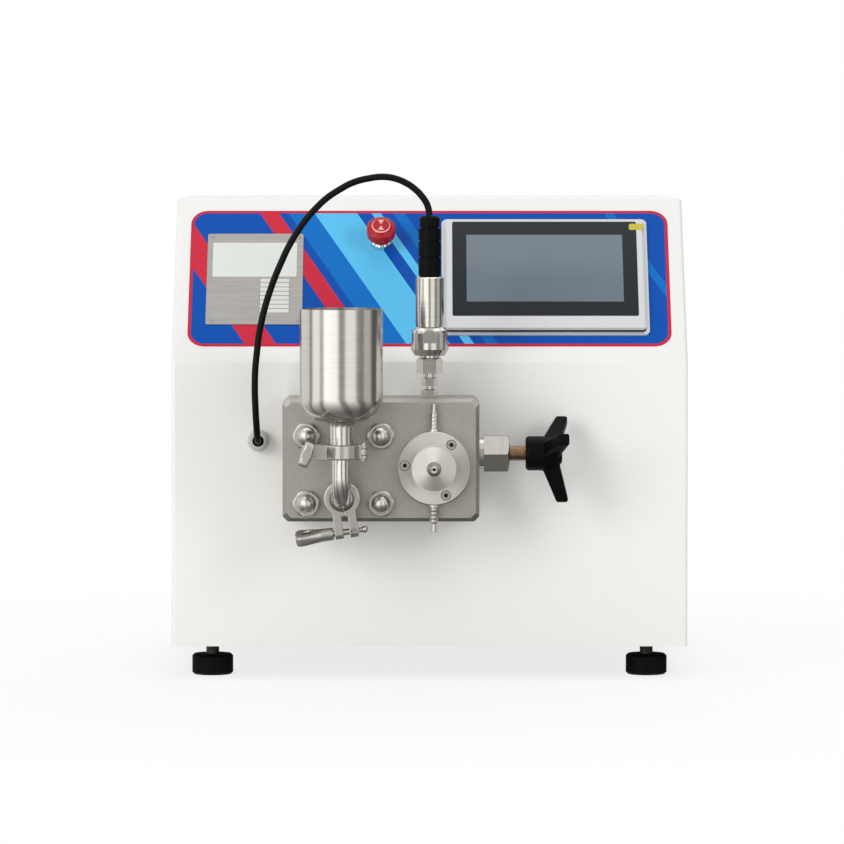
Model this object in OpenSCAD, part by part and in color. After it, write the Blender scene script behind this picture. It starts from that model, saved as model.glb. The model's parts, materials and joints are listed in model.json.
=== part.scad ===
// Benchtop dairy homogenizer: a sheet-metal cabinet with a sloped control panel, and on its front
// a plunger pump block with feed hopper, pressure transducer and hand-set homogenizing valve.
// Millimetres, +Z up, front towards -Y. The origin is on the bench, under the middle of the machine.

/* [Cabinet] */
// Width of the cabinet
cab_width = 500; // [490:1:540]
// Depth of the cabinet, from front panel to rear edge
cab_depth = 460; // [440:1:540]
// Height of the cabinet's lower edge above the bench
cab_bottom = 31; // [28:0.5:40]
// Height of the bend between front panel and slope
bend_height = 307; // [300:1:330]
// Length of the slope, from bend to top edge
slope_length = 208; // [205:1:230]
// Tilt of the slope from vertical, in degrees
slope_tilt = 41; // [36:0.5:46]
// Thickness of the cabinet sheet
sheet = 2; // [1.5:0.1:2.5]
// Outer radius of the sheet's bends
bend_radius = 4; // [3:0.5:6]
// Thickness of the base plate
base_thick = 3; // [2:0.5:5]
// How far the rear panel sits inside the rear edge
rear_recess = 10; // [8:1:20]

/* [Feet] */
// Diameter of a rubber foot pad
pad_diameter = 40; // [34:1:46]
// Height of a rubber foot pad
pad_height = 20; // [16:0.5:24]
// Diameter of a foot's threaded stem
stem_diameter = 12.6; // [10:0.2:16]
// Distance of the feet from the cabinet's sides
foot_side_inset = 38; // [34:1:60]
// Distance of the feet from front and rear
foot_end_inset = 45; // [40:1:60]

/* [Control panel] */
// Width of the printed overlay
overlay_width = 470; // [455:1:480]
// Height of the printed overlay, along the slope
overlay_height = 172; // [168:1:180]
// Distance from the bend to the overlay's lower edge
overlay_from_bend = 19; // [15:1:22]
// Corner radius of the overlay
overlay_corner = 17; // [8:1:25]
// Thickness of the overlay film
film = 0.4; // [0.2:0.1:0.8]
// Width of the name plate
plate_width = 94; // [80:1:100]
// Height of the name plate, along the slope
plate_height = 115; // [100:1:120]
// Sideways place of the name plate's centre
plate_x = -171; // [-175:1:-160]
// Place of the name plate's centre along the slope, from the bend
plate_along = 103.2; // [95:0.2:115]
// Thickness of the name plate
plate_thick = 0.8; // [0.5:0.1:1.5]
// Diameter of the emergency-stop cap
cap_diameter = 28; // [26:0.5:40]
// Diameter of the emergency-stop collar
collar_diameter = 21; // [20:0.5:26]
// Height of the emergency-stop collar
collar_height = 7; // [5:0.5:8]
// Diameter of the emergency stop's threaded barrel
barrel_diameter = 16; // [15:0.5:18]
// Travel of the emergency stop when it is struck
estop_travel = 4; // [2:0.5:4.5]
// Sideways place of the emergency stop
estop_x = -47.5; // [-60:0.5:-40]
// Place of the emergency stop along the slope, from the bend
estop_along = 149.5; // [130:0.5:160]

/* [Touch screen] */
// Width of the bezel
hmi_width = 202; // [190:1:210]
// Height of the bezel, along the slope
hmi_height = 146.5; // [140:0.5:155]
// Sideways place of the bezel's centre
hmi_x = 113; // [108:1:118]
// Place of the bezel's centre along the slope, from the bend
hmi_along = 105; // [102:1:110]
// Height of the bezel above the panel
hmi_rise = 6.5; // [5:0.5:9]
// Width of the thin lip round the bezel
hmi_lip = 3.5; // [2:0.5:4]
// Width of the bezel beside the glass
hmi_side = 10.4; // [8:0.2:14]
// Width of the bezel below the glass
hmi_chin = 20; // [18:0.5:32]
// Width of the bezel above the glass
hmi_brow = 6.8; // [4.4:0.2:10]
// Thickness of the glass
glass_thick = 1.6; // [1:0.1:2.5]
// Depth of the case behind the panel
hmi_depth = 34; // [25:1:45]

/* [Pump block] */
// Width of the block
block_width = 188; // [184:1:200]
// Height of the block
block_height = 117.6; // [114:0.2:130]
// Thickness of the block, out from the front panel
block_thick = 70; // [68:1:85]
// Sideways place of the block's centre
block_x = -46.5; // [-50:0.5:-40]
// Height of the block's centre
block_z = 215.9; // [214:0.1:222]
// Cut at the block's four corners
corner_cut = 5; // [3:0.5:7]
// Chamfer round the block's front face
edge_chamfer = 3.5; // [2:0.5:5]
// Sideways place of the plunger axis
pump_x = -82; // [-84:0.5:-80]
// Distance of the plunger axis below the block's centre
pump_drop = 9; // [7:0.5:11]
// Stud spacing, across
stud_across = 71; // [68:0.5:74]
// Stud spacing, up
stud_up = 64.5; // [62:0.5:68]
// Diameter of a stud
stud_diameter = 10; // [8:0.5:12]
// Width of a dome nut across its flats
nut_flats = 24; // [22:0.5:24]
// Height of a dome nut's hexagon
nut_hex_height = 8; // [6:0.5:9]
// Diameter of a dome nut's cap
nut_dome = 18.5; // [16:0.5:19]
// Height of a dome nut's cap
nut_dome_height = 10; // [10:0.5:12]

/* [Plunger drive] */
// Diameter of the plunger
plunger_diameter = 14; // [10:0.5:18]
// Stroke of the plunger
stroke = 25; // [10:1:28]
// How far the plunger reaches into the block at the end of its stroke
plunger_reach = 48; // [44:1:50]
// Diameter of the ball screw
screw_diameter = 20; // [16:1:24]
// Diameter of the two guide rods
rod_diameter = 16; // [12:1:20]
// Distance of a guide rod from the plunger axis
rod_offset = 45; // [42:1:50]
// Sideways distance between plunger axis and motor axis
motor_offset = 130; // [122:1:140]
// Width of the motor
motor_width = 80; // [70:1:90]
// Length of the motor
motor_length = 130; // [100:1:140]
// Diameter of the motor pulley
motor_pulley_diameter = 40; // [36:1:44]
// Diameter of the screw pulley
screw_pulley_diameter = 60; // [54:1:70]
// Width of the belt
belt_width = 16; // [10:1:20]

/* [Homogenizing valve] */
// Distance of the valve axis behind the block's front face
valve_inset = 20; // [17:0.5:20]
// Height of the valve axis above the block's centre
valve_rise = 5.5; // [4:0.5:8]
// Width of the bonnet's hexagon across its flats
bonnet_flats = 34; // [30:0.5:36]
// Length of the bonnet's hexagon
bonnet_length = 24.3; // [20:0.1:30]
// Length of the neck between block and hexagon
neck_length = 4.6; // [3:0.1:8]
// Diameter of the threaded stem
valve_stem_diameter = 15; // [12:0.5:17]
// Length of stem that shows between bonnet and knob
stem_shown = 15.5; // [10:0.5:20]
// Diameter of the knob's hub
hub_diameter = 33; // [30:1:36]
// Length of the knob's hub
hub_length = 17; // [14:0.5:22]
// Reach of the knob's arms from the axis
arm_reach = 47.5; // [42:0.5:47.5]
// How far the arms lean out beyond the hub
arm_lean = 24; // [15:1:30]

/* [Cooling jacket] */
// Sideways place of the jacket's centre
jacket_x = 4.2; // [2:0.1:6]
// Distance of the jacket's centre below the block's centre
jacket_drop = 7.3; // [6:0.1:8]
// Diameter of the jacket
jacket_diameter = 70.5; // [68:0.5:74]
// Thickness of the jacket
jacket_thick = 13; // [12:0.5:18]
// Diameter of the outlet nozzle's flange
nozzle_diameter = 42.5; // [36:0.5:44]
// Length of the outlet nozzle
nozzle_length = 16; // [12:0.5:24]
// Diameter of the nozzle's outlet
nozzle_bore = 3; // [2:0.2:5]
// Diameter of a hose barb's tube
barb_diameter = 6; // [5:0.2:7]
// Length of the upper hose barb
upper_barb_length = 26; // [20:0.5:30]
// Length of the lower hose barb
lower_barb_length = 26.5; // [20:0.5:32]

/* [Pressure transducer] */
// Sideways place of the transducer's axis
gauge_x = 0; // [-1:0.5:2]
// Width of the port fitting and union nut across their flats
port_flats = 14; // [12:0.5:17]
// Width of the transducer's hexagon across its flats
sensor_flats = 22; // [19:0.5:26]
// Diameter of the transducer's base
sensor_base_diameter = 36.5; // [32:0.5:40]
// Height of the transducer's base
sensor_base_height = 27.5; // [24:0.5:30]
// Diameter of the transducer's barrel
sensor_diameter = 27; // [24:0.5:30]
// Diameter of the cable plug
plug_diameter = 21.5; // [18:0.5:24]

/* [Sensor cable] */
// Diameter of the cable
cable_diameter = 6.4; // [6:0.1:7]
// Diameter of the cable gland
gland_diameter = 20.8; // [18:0.2:24]

/* [Feed hopper] */
// Outer diameter of the hopper
hopper_diameter = 79; // [70:0.5:90]
// Height of the hopper, from its underside to the rim
hopper_height = 106; // [80:1:140]
// Wall of the hopper
hopper_wall = 2; // [1.5:0.1:3]
// Radius of the hopper's rounded underside
hopper_corner = 22; // [14:0.5:25]
// Diameter of the hopper's neck
hopper_neck = 22.4; // [20:0.2:23]
// Length of the neck, from the clamp's middle to the underside
neck_drop = 29.5; // [24:0.5:40]
// Sideways place of the feed line
inlet_x = -83.5; // [-84.5:0.5:-81]
// Distance of the feed port below the block's centre
inlet_drop = 35.9; // [35:0.1:38]
// Outer diameter of the inlet elbow's pipe
pipe_diameter = 18; // [15:0.5:19]
// Wall of the inlet elbow's pipe
pipe_wall = 1.5; // [1:0.1:2]
// Radius of the elbow's bend
elbow_radius = 22; // [18:0.5:23]
// Distance from feed port to upper clamp, up
elbow_rise = 46.3; // [44:0.1:60]
// Distance from lower clamp to hopper axis, out
elbow_reach = 31; // [30.5:0.5:40]
// Distance from block face to the lower clamp's middle
port_standoff = 14; // [12:0.5:20]

/* [Pipe clamps] */
// Diameter of a ferrule's flange
ferrule_diameter = 27; // [26:0.2:28]
// Outer diameter of a clamp's ring
clamp_diameter = 35; // [34:0.2:37]
// Width of a clamp along the pipe
clamp_width = 14; // [13:0.5:16]
// Distance from pipe axis to the clamp's bolt
bolt_offset = 32; // [31.5:0.1:32.5]
// Diameter of the swing bolt
bolt_diameter = 6; // [5:0.2:6.4]
// Gap between a clamp's two ears
ear_gap = 6.5; // [5:0.1:8]
// Thickness of an ear
ear_thick = 7.8; // [7:0.1:9]
// Gap between wing nut and ear, with the nut slackened
nut_gap = 1.5; // [1.5:0.1:2.5]
// Length of a wing nut's round boss
boss_length = 13; // [10:0.5:15]
// Diameter of a wing nut's round boss
boss_diameter = 12.5; // [10:0.5:13]
// Length of a wing nut's flared wing
wing_length = 23.5; // [20:0.5:26]
// Width of a wing nut's wing
wing_width = 25; // [20:0.5:25.5]
// Thickness of a wing nut's wing
wing_thick = 9; // [8:0.5:10]
// Turn of the lower clamp about its pipe, in degrees
lower_roll = 8; // [0:1:10]

/* [Mains inlet] */
// Sideways place of the mains inlet
mains_x = 170; // [150:1:190]
// Height of the mains inlet
mains_z = 95; // [85:1:140]
// Tilt of the rocker to either side, in degrees
rocker_tilt = 8; // [5:1:9]

/* [Hidden] */
$fn = 64;

// Clearances: a running fit, a fixed fit, and the gap between neighbours that only pass
run_fit = 0.05;
fit = 0.1;
gap = 0.3;
// Overshoot of a cutting tool past the face that it cuts
over = 1;

// Finishes
white_paint = [0.94, 0.94, 0.93];
steel = [0.74, 0.73, 0.71];
bright_steel = [0.84, 0.84, 0.83];
black = [0.07, 0.07, 0.08];
dark_grey = [0.25, 0.26, 0.28];
bronze = [0.66, 0.50, 0.30];
blue = [0.11, 0.36, 0.71];
red = [0.80, 0.13, 0.15];

// Stack of a clamped pipe joint: gasket, flange rim and the taper behind it
gasket_thick = 1.6;
flange_rim = 1.6;
flange_taper = 20;
function flange_depth(pipe_r) = flange_rim + (ferrule_diameter / 2 - pipe_r) * tan(flange_taper);

// Places that follow from the driving sizes
nut_length = boss_length + wing_length;
nut_start = ear_gap / 2 + ear_thick + nut_gap;
lower_clamp_u = block_thick + port_standoff;
hopper_u = lower_clamp_u + elbow_reach;
front_reach = hopper_u + nut_start + nut_length;
y_front = (front_reach - cab_depth) / 2;
cab_top = bend_height + slope_length * cos(slope_tilt);
base_top = cab_bottom + base_thick;
rear_face = cab_depth - rear_recess;
block_right = block_x + block_width / 2;
block_top = block_z + block_height / 2;
pump_z = block_z - pump_drop;
inlet_z = block_z - inlet_drop;
jacket_z = block_z - jacket_drop;
valve_z = block_z + valve_rise;
valve_u = block_thick - valve_inset;
upper_clamp_z = inlet_z + elbow_rise;
hopper_base = upper_clamp_z + neck_drop;

// Places on the front: local X is across, local Y is up, local Z points out of the panel
module on_front(x, z) {
  translate([x, y_front, z]) rotate([90, 0, 0]) children();
}

// Places on the slope: local X is across, local Y runs up the slope, local Z points out of it
module on_slope(x, along) {
  translate([0, y_front, bend_height]) rotate([90 - slope_tilt, 0, 0]) translate([x, along, 0])
    children();
}

// Places on the rear panel's outer face, as seen from behind
module on_rear(x, z) {
  translate([x, y_front + rear_face, z]) rotate([90, 0, 180]) children();
}

// The valve's axis: local Z points right, away from the block's side
module on_valve_axis() {
  translate([block_right, y_front - valve_u, valve_z]) rotate([0, 90, 0]) children();
}

// The transducer's axis: local Z points up from the block's top
module on_gauge_axis() {
  translate([gauge_x, y_front - valve_u, block_top]) children();
}

// The plunger's axis: local Z points back into the cabinet from the front panel
module on_drive_axis(x) {
  translate([x, y_front, pump_z]) rotate([-90, 0, 0]) children();
}

// The upper clamp's frame: pipe along Z, ears to the left, nut in front
module at_upper_clamp() {
  translate([inlet_x, y_front - hopper_u, upper_clamp_z]) children();
}

// The lower clamp's frame: pipe into the block, ears down, nut to the left
module at_lower_clamp() {
  translate([inlet_x, y_front - lower_clamp_u, inlet_z]) rotate([0, -lower_roll, 0])
    rotate([-90, 0, 0]) rotate([0, 0, -90]) children();
}

module rounded_rect(size, r) {
  square([size.x - 2 * r, size.y], center = true);
  square([size.x, size.y - 2 * r], center = true);
  for (sx = [-1, 1], sy = [-1, 1])
    translate([sx * (size.x / 2 - r), sy * (size.y / 2 - r)]) circle(r);
}

module rounded_plate(size, r, thick) {
  linear_extrude(thick) rounded_rect(size, r);
}

module turned(profile) {
  rotate_extrude() polygon(profile);
}

module hexagon(flats, height) {
  cylinder(h = height, d = flats / cos(30), $fn = 6);
}

// A hexagon whose corners are turned off at its upper end
module chamfered_hexagon(flats, height, chamfer) {
  corner = flats / cos(30) / 2;
  intersection() {
    hexagon(flats, height);
    turned([[0, 0], [corner, 0], [corner, height - chamfer],
      [flats / 2 - chamfer / 2, height], [0, height]]);
  }
}

module at_studs() {
  for (sx = [-1, 1], sz = [-1, 1])
    translate([sx * stud_across / 2, sz * stud_up / 2, 0]) children();
}

// Cabinet

// Bend centres of the side profile, as distance behind the front and height
front_bend = [bend_radius, bend_height - bend_radius * tan(slope_tilt / 2)];
top_bend = [slope_length * sin(slope_tilt) + bend_radius * (1 - sin(slope_tilt)) / cos(slope_tilt),
  cab_top - bend_radius];
bend_steps = 6;
open_end = 20;
deep = 2 * cab_depth;

function bend_arc(centre, r, from, to) =
  [for (i = [0 : bend_steps]) let (a = from + (to - from) * i / bend_steps)
    centre + r * [-cos(a), sin(a)]];

// A long bar as wide as the cabinet, with rounded edges and its upper face at the origin
module edge_tunnel(inset) {
  translate([0, 0, -inset - deep]) rotate([90, 0, 0]) linear_extrude(4 * deep, center = true)
    rounded_rect([cab_width - 2 * inset, 2 * deep], bend_radius - inset);
}

// The cabinet's outside, or its inside when it is moved in by the sheet
module cabinet_form(inset) {
  r = bend_radius - inset;
  intersection() {
    translate([0, y_front, 0]) rotate([90, 0, 90]) linear_extrude(2 * cab_width, center = true)
      polygon(concat([[inset, cab_bottom - open_end]], bend_arc(front_bend, r, 0, slope_tilt),
        bend_arc(top_bend, r, slope_tilt, 90), [[cab_depth + open_end, cab_top - inset],
        [cab_depth + open_end, cab_bottom - open_end]]));
    translate([0, y_front, 0]) rotate([90, 0, 0]) edge_tunnel(inset);
    on_slope(0, 0) edge_tunnel(inset);
    translate([0, y_front, cab_top]) edge_tunnel(inset);
  }
}

plunger_hole = plunger_diameter + 16;
gland_shank = 12;
gland_x = -165.5;
gland_z = 231;

module housing_shell() {
  color(white_paint) difference() {
    cabinet_form(0);
    cabinet_form(sheet);
    translate([-cab_width, y_front - over, cab_bottom - 2 * open_end])
      cube([2 * cab_width, cab_depth + 3 * open_end, 2 * open_end]);
    translate([-cab_width, y_front + cab_depth, 0])
      cube([2 * cab_width, 2 * open_end, 2 * cab_top]);
    on_slope(hmi_x, hmi_along)
      cube([hmi_body.x + 2 * gap, hmi_body.y + 2 * gap, 4 * sheet], center = true);
    on_slope(estop_x, estop_along)
      cylinder(h = 4 * sheet, d = barrel_diameter + 2 * fit, center = true);
    on_front(gland_x, gland_z) cylinder(h = 4 * sheet, d = gland_shank + 2 * fit, center = true);
    on_front(pump_x, pump_z) {
      cylinder(h = 4 * sheet, d = plunger_hole, center = true);
      at_studs() cylinder(h = 4 * sheet, d = stud_diameter + 2 * gap, center = true);
    }
  }
}

// Floor plan inside the shell, with the gap that it needs to slide in
inside_width = cab_width - 2 * sheet - 2 * gap;
weld_nut_height = 9;
weld_nut_diameter = stem_diameter + 10;

module at_foot(sx, rear) {
  w = rear ? cab_depth - foot_end_inset : foot_end_inset;
  translate([sx * (cab_width / 2 - foot_side_inset), y_front + w, 0]) children();
}

module base_plate() {
  vent_length = 90;
  vent_width = 6;
  vent_pitch = 16;
  vent_count = 7;
  vent_from_right = 75;
  plate_depth = cab_depth - sheet - gap;
  color(white_paint) difference() {
    union() {
      translate([0, y_front + sheet + gap + plate_depth / 2, cab_bottom])
        rounded_plate([inside_width, plate_depth], bend_radius, base_thick);
      for (sx = [-1, 1], rear = [false, true])
        at_foot(sx, rear) translate([0, 0, base_top])
          cylinder(h = weld_nut_height, d = weld_nut_diameter);
    }
    for (sx = [-1, 1], rear = [false, true])
      at_foot(sx, rear) translate([0, 0, cab_bottom - over])
        cylinder(h = base_thick + weld_nut_height + 2 * over,
          d = stem_diameter + 2 * run_fit);
    for (i = [0 : vent_count - 1])
      translate([cab_width / 2 - vent_from_right,
        y_front + cab_depth / 2 + (i - (vent_count - 1) / 2) * vent_pitch,
        cab_bottom - over])
        rounded_plate([vent_length, vent_width], vent_width / 2 - fit,
          base_thick + 2 * over);
  }
}

// Mains inlet sizes that the rear panel's cut-out shares
inlet_flange = [50, 60];
inlet_body = [44, 50];

module rear_panel() {
  louvre_length = 130;
  louvre_height = 9;
  louvre_depth = 6;
  louvre_pitch = 20;
  louvre_rows = 8;
  louvre_column = 95;
  panel_height = cab_top - sheet - gap - base_top;
  louvre_base = base_top + panel_height * 0.45;
  color(white_paint) difference() {
    union() {
      on_rear(0, base_top + panel_height / 2) translate([0, 0, -sheet])
        rounded_plate([inside_width, panel_height], bend_radius, sheet);
      for (side = [-1, 1], i = [0 : louvre_rows - 1])
        on_rear(side * louvre_column, louvre_base + i * louvre_pitch)
          louvre_wedge(louvre_length, louvre_height, louvre_depth);
    }
    for (side = [-1, 1], i = [0 : louvre_rows - 1])
      on_rear(side * louvre_column, louvre_base + i * louvre_pitch)
        louvre_mouth(louvre_length, louvre_height, louvre_depth);
    on_rear(mains_x, mains_z) translate([0, 0, -2 * sheet]) linear_extrude(4 * sheet)
      square([inlet_body.x + 2 * gap, inlet_body.y + 2 * gap], center = true);
  }
}

// A pressed louvre: a wedge that leans out downwards, open along its lower edge
module louvre_wedge(length, height, depth) {
  rotate([90, 0, 90]) linear_extrude(length, center = true)
    polygon([[0, -sheet / 2], [0, depth], [height, 0], [height, -sheet / 2]]);
}

module louvre_mouth(length, height, depth) {
  translate([0, -sheet, -sheet]) louvre_wedge(length - 2 * sheet, height, depth);
}

// Levelling feet

module levelling_foot(sx, rear) {
  edge = 2;
  stem_top = base_top + weld_nut_height + 2;
  stem_base = pad_height / 2;
  pad_r = pad_diameter / 2;
  color(black) at_foot(sx, rear) {
    turned([[0, 0], [pad_r - edge, 0], [pad_r, edge], [pad_r, pad_height - edge],
      [pad_r - edge, pad_height], [0, pad_height]]);
    translate([0, 0, stem_base]) cylinder(h = stem_top - stem_base, d = stem_diameter);
  }
}

module foot_front_left() levelling_foot(-1, false);
module foot_front_right() levelling_foot(1, false);
module foot_rear_left() levelling_foot(-1, true);
module foot_rear_right() levelling_foot(1, true);

// Control panel

module panel_overlay() {
  color(blue) difference() {
    on_slope(0, overlay_from_bend + overlay_height / 2)
      rounded_plate([overlay_width, overlay_height], overlay_corner, film);
    on_slope(hmi_x, hmi_along)
      cube([hmi_body.x + 2 * gap, hmi_body.y + 2 * gap, 4 * sheet], center = true);
    on_slope(estop_x, estop_along)
      cylinder(h = 4 * sheet, d = barrel_diameter + 2 * fit, center = true);
  }
}

module nameplate() {
  plate_corner = 2;
  rivet_inset = 4.5;
  rivet_diameter = 4;
  rivet_height = 0.9;
  color(steel) on_slope(plate_x, plate_along) translate([0, 0, film]) {
    rounded_plate([plate_width, plate_height], plate_corner, plate_thick);
    for (sx = [-1, 1], sy = [-1, 1])
      translate([sx * (plate_width / 2 - rivet_inset),
        sy * (plate_height / 2 - rivet_inset), plate_thick])
        cylinder(h = rivet_height, d1 = rivet_diameter, d2 = rivet_diameter / 2);
  }
}

// The part of the touch-screen case that passes through the panel
hmi_body_inset = 6;
hmi_body = [hmi_width - 2 * hmi_body_inset, hmi_height - 2 * hmi_body_inset];
glass_size = [hmi_width - 2 * hmi_side, hmi_height - hmi_chin - hmi_brow];
glass_along = hmi_along + (hmi_chin - hmi_brow) / 2;
glass_corner = 2;

module hmi_case() {
  lip_thick = 2.2;
  corner = 6;
  bezel_bevel = 1.5;
  bezel = [hmi_width - 2 * hmi_lip, hmi_height - 2 * hmi_lip];
  color(bright_steel) difference() {
    on_slope(hmi_x, hmi_along) {
      translate([0, 0, film]) rounded_plate([hmi_width, hmi_height], corner, lip_thick);
      translate([0, 0, film])
        rounded_plate(bezel, corner - hmi_lip / 2, hmi_rise - bezel_bevel);
      translate([0, 0, film])
        rounded_plate([bezel.x - 2 * bezel_bevel, bezel.y - 2 * bezel_bevel],
          corner - hmi_lip, hmi_rise);
      translate([0, 0, -hmi_depth]) rounded_plate(hmi_body, corner, hmi_depth + film);
    }
    on_slope(hmi_x, glass_along) translate([0, 0, film + hmi_rise - glass_thick - gap])
      rounded_plate([glass_size.x + 2 * fit, glass_size.y + 2 * fit],
        glass_corner, glass_thick + gap + over);
  }
}

module hmi_glass() {
  color(dark_grey) on_slope(hmi_x, glass_along)
    translate([0, 0, film + hmi_rise - glass_thick - gap])
      rounded_plate(glass_size, glass_corner, glass_thick);
}

// Levels of the emergency stop above the panel sheet
cap_lift = collar_height + 5.5;
cap_skirt = 12;
cap_dome = 6;
stop_stem_diameter = 12;
spigot_diameter = 8;
spigot_length = 10;
stop_bore_depth = 22;

module estop_collar() {
  bevel = 1.5;
  r = collar_diameter / 2;
  bore = barrel_diameter / 2 + fit;
  color(bright_steel) on_slope(estop_x, estop_along) translate([0, 0, film])
    turned([[bore, 0], [r, 0], [r, collar_height - bevel],
      [r - bevel, collar_height], [bore, collar_height]]);
}

module estop_barrel() {
  block_size = [30, 40];
  block_depth = 26;
  barrel_depth = 26;
  lid = 2;
  color(black) on_slope(estop_x, estop_along) difference() {
    union() {
      translate([0, 0, -barrel_depth])
        cylinder(h = barrel_depth + film + collar_height - lid, d = barrel_diameter);
      translate([0, 0, -barrel_depth - block_depth])
        rounded_plate(block_size, lid, block_depth);
    }
    translate([0, 0, -stop_bore_depth]) cylinder(h = stop_bore_depth + collar_height + over,
      d = stop_stem_diameter + 2 * run_fit);
  }
}

module estop_stem() {
  stem_bottom = estop_travel + 1 - stop_bore_depth;
  color(black) on_slope(estop_x, estop_along) {
    translate([0, 0, stem_bottom])
      cylinder(h = film + cap_lift - run_fit - stem_bottom, d = stop_stem_diameter);
    translate([0, 0, film + cap_lift - over])
      cylinder(h = spigot_length + over, d = spigot_diameter);
  }
}

module estop_cap() {
  r = cap_diameter / 2;
  bore = spigot_diameter / 2 + run_fit;
  rim = 1.5;
  crown = 0.55;
  color(red) on_slope(estop_x, estop_along) translate([0, 0, film + cap_lift]) difference() {
    turned([[0, 0], [r - rim, 0], [r, rim], [r, cap_skirt - rim], [r - rim, cap_skirt],
      [r - 2 * rim, cap_skirt], [r * crown, cap_skirt + cap_dome * crown],
      [0, cap_skirt + cap_dome * crown]]);
    translate([0, 0, -over]) cylinder(h = spigot_length + over + run_fit, d = 2 * bore);
  }
}

module motor_drive() {
  size = [90, 180, 170];
  from_right = 30;
  from_front = 110;
  fin_count = 9;
  fin_thick = 3;
  fin_depth = 18;
  color(dark_grey)
    translate([cab_width / 2 - from_right - size.x, y_front + from_front, base_top]) {
      cube(size);
      for (i = [0 : fin_count - 1])
        translate([-fin_depth, i * (size.y - fin_thick) / (fin_count - 1), 0])
          cube([fin_depth + over, fin_thick, size.z]);
    }
}

// Pump block

function cut_rect(w, h, c) = [
  [-w / 2 + c, -h / 2], [w / 2 - c, -h / 2], [w / 2, -h / 2 + c], [w / 2, h / 2 - c],
  [w / 2 - c, h / 2], [-w / 2 + c, h / 2], [-w / 2, h / 2 - c], [-w / 2, -h / 2 + c]];

// Drillings in the block
seal_diameter = plunger_diameter + 12;
seal_length = 10;
valve_bore = 24;
valve_bore_depth = 38;
cartridge_diameter = 14;
cartridge_length = 18;
passage = 6;
side_passage = 5;
port_depth = 12;
chamber_end = plunger_reach + 3;
gauge_thread = 10;
gauge_thread_depth = 16;
outlet_cartridge_x = pump_x + 32;
valve_seat_length = 8;
valve_travel_gap = 1.2;
jacket_passage_x = block_right - valve_bore_depth + valve_seat_length + valve_travel_gap;

module pump_block() {
  inlet_pocket_end = block_thick - port_depth - cartridge_length;
  color(steel) difference() {
    on_front(block_x, block_z) hull() {
      linear_extrude(block_thick - edge_chamfer)
        polygon(cut_rect(block_width, block_height, corner_cut));
      linear_extrude(block_thick) polygon(cut_rect(block_width - 2 * edge_chamfer,
        block_height - 2 * edge_chamfer, corner_cut));
    }
    on_front(pump_x, pump_z) {
      at_studs() translate([0, 0, -over])
        cylinder(h = block_thick + 2 * over, d = stud_diameter + 2 * fit);
      translate([0, 0, -over]) cylinder(h = chamber_end + over, d = plunger_diameter + 2 * gap);
      translate([0, 0, -over]) cylinder(h = seal_length + over, d = seal_diameter + 2 * fit);
    }
    // Feed port: ferrule socket, check valve pocket and a drilling up to the plunger
    on_front(inlet_x, inlet_z) {
      translate([0, 0, block_thick - port_depth])
        cylinder(h = port_depth + over, d = pipe_diameter + 2 * fit);
      translate([0, 0, inlet_pocket_end])
        cylinder(h = cartridge_length + over, d = cartridge_diameter + 2 * fit);
    }
    translate([pump_x, y_front - inlet_pocket_end - passage, inlet_z])
      cylinder(h = pump_z - inlet_z, d = side_passage);
    // Valve bore from the right side, with the outlet check valve at its inner end
    on_valve_axis() {
      translate([0, 0, -valve_bore_depth])
        cylinder(h = valve_bore_depth + over, d = valve_bore + 2 * fit);
      translate([0, 0, outlet_cartridge_x - block_right])
        cylinder(h = block_right - outlet_cartridge_x - over,
          d = cartridge_diameter + 2 * fit);
      translate([0, 0, pump_x - passage - block_right])
        cylinder(h = block_right + passage - pump_x - over, d = passage);
    }
    translate([pump_x, y_front - valve_u, pump_z])
      cylinder(h = valve_z - pump_z, d = side_passage);
    // Pressure port from the top, and the outlet under the jacket
    on_gauge_axis() {
      translate([0, 0, -gauge_thread_depth])
        cylinder(h = gauge_thread_depth + over, d = gauge_thread + 2 * fit);
      translate([0, 0, valve_z - block_top])
        cylinder(h = block_top - valve_z - over, d = passage);
    }
    on_front(jacket_passage_x, valve_z) translate([0, 0, valve_u])
      cylinder(h = valve_inset + over, d = passage);
    on_front(jacket_x, jacket_z) at_jacket_screws()
      translate([0, 0, block_thick - jacket_screw_depth])
        cylinder(h = jacket_screw_depth + over, d = jacket_screw + 2 * fit);
  }
}

stud_anchor = 16;
nut_bore_depth = nut_hex_height + 3;

module pump_studs() {
  color(steel) on_front(pump_x, pump_z) at_studs() translate([0, 0, -sheet - stud_anchor])
    cylinder(h = sheet + stud_anchor + block_thick + nut_bore_depth - fit,
      d = stud_diameter);
}

module dome_nuts() {
  groove = 1;
  chamfer = 1.5;
  round_off = 0.9;
  r = nut_dome / 2;
  straight = nut_dome_height - r;
  color(bright_steel) on_front(pump_x, pump_z) at_studs() translate([0, 0, block_thick])
    difference() {
      union() {
        intersection() {
          chamfered_hexagon(nut_flats, nut_hex_height, chamfer);
          difference() {
            cylinder(h = nut_hex_height, r = nut_flats / 2 + round_off);
            translate([0, 0, nut_hex_height - groove]) cylinder(h = 2 * groove, r = r + groove);
          }
        }
        translate([0, 0, nut_hex_height - 2 * groove])
          cylinder(h = straight + 2 * groove, r = r);
        translate([0, 0, nut_hex_height + straight]) sphere(r);
      }
      translate([0, 0, -over])
        cylinder(h = nut_bore_depth + over, d = stud_diameter + 2 * fit);
    }
}

// Cooling jacket and outlet

jacket_screw = 5;
jacket_screw_head = 8.5;
jacket_head_height = 5;
jacket_screw_depth = 8.5;
jacket_screw_circle = 28;
jacket_screw_start = 54;
barb_u = block_thick + jacket_thick / 2;
barb_spigot = 6;
nozzle_spigot = 12;

module at_jacket_screws() {
  for (i = [0 : 2])
    rotate([0, 0, jacket_screw_start + 120 * i]) translate([jacket_screw_circle, 0, 0]) children();
}

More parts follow.
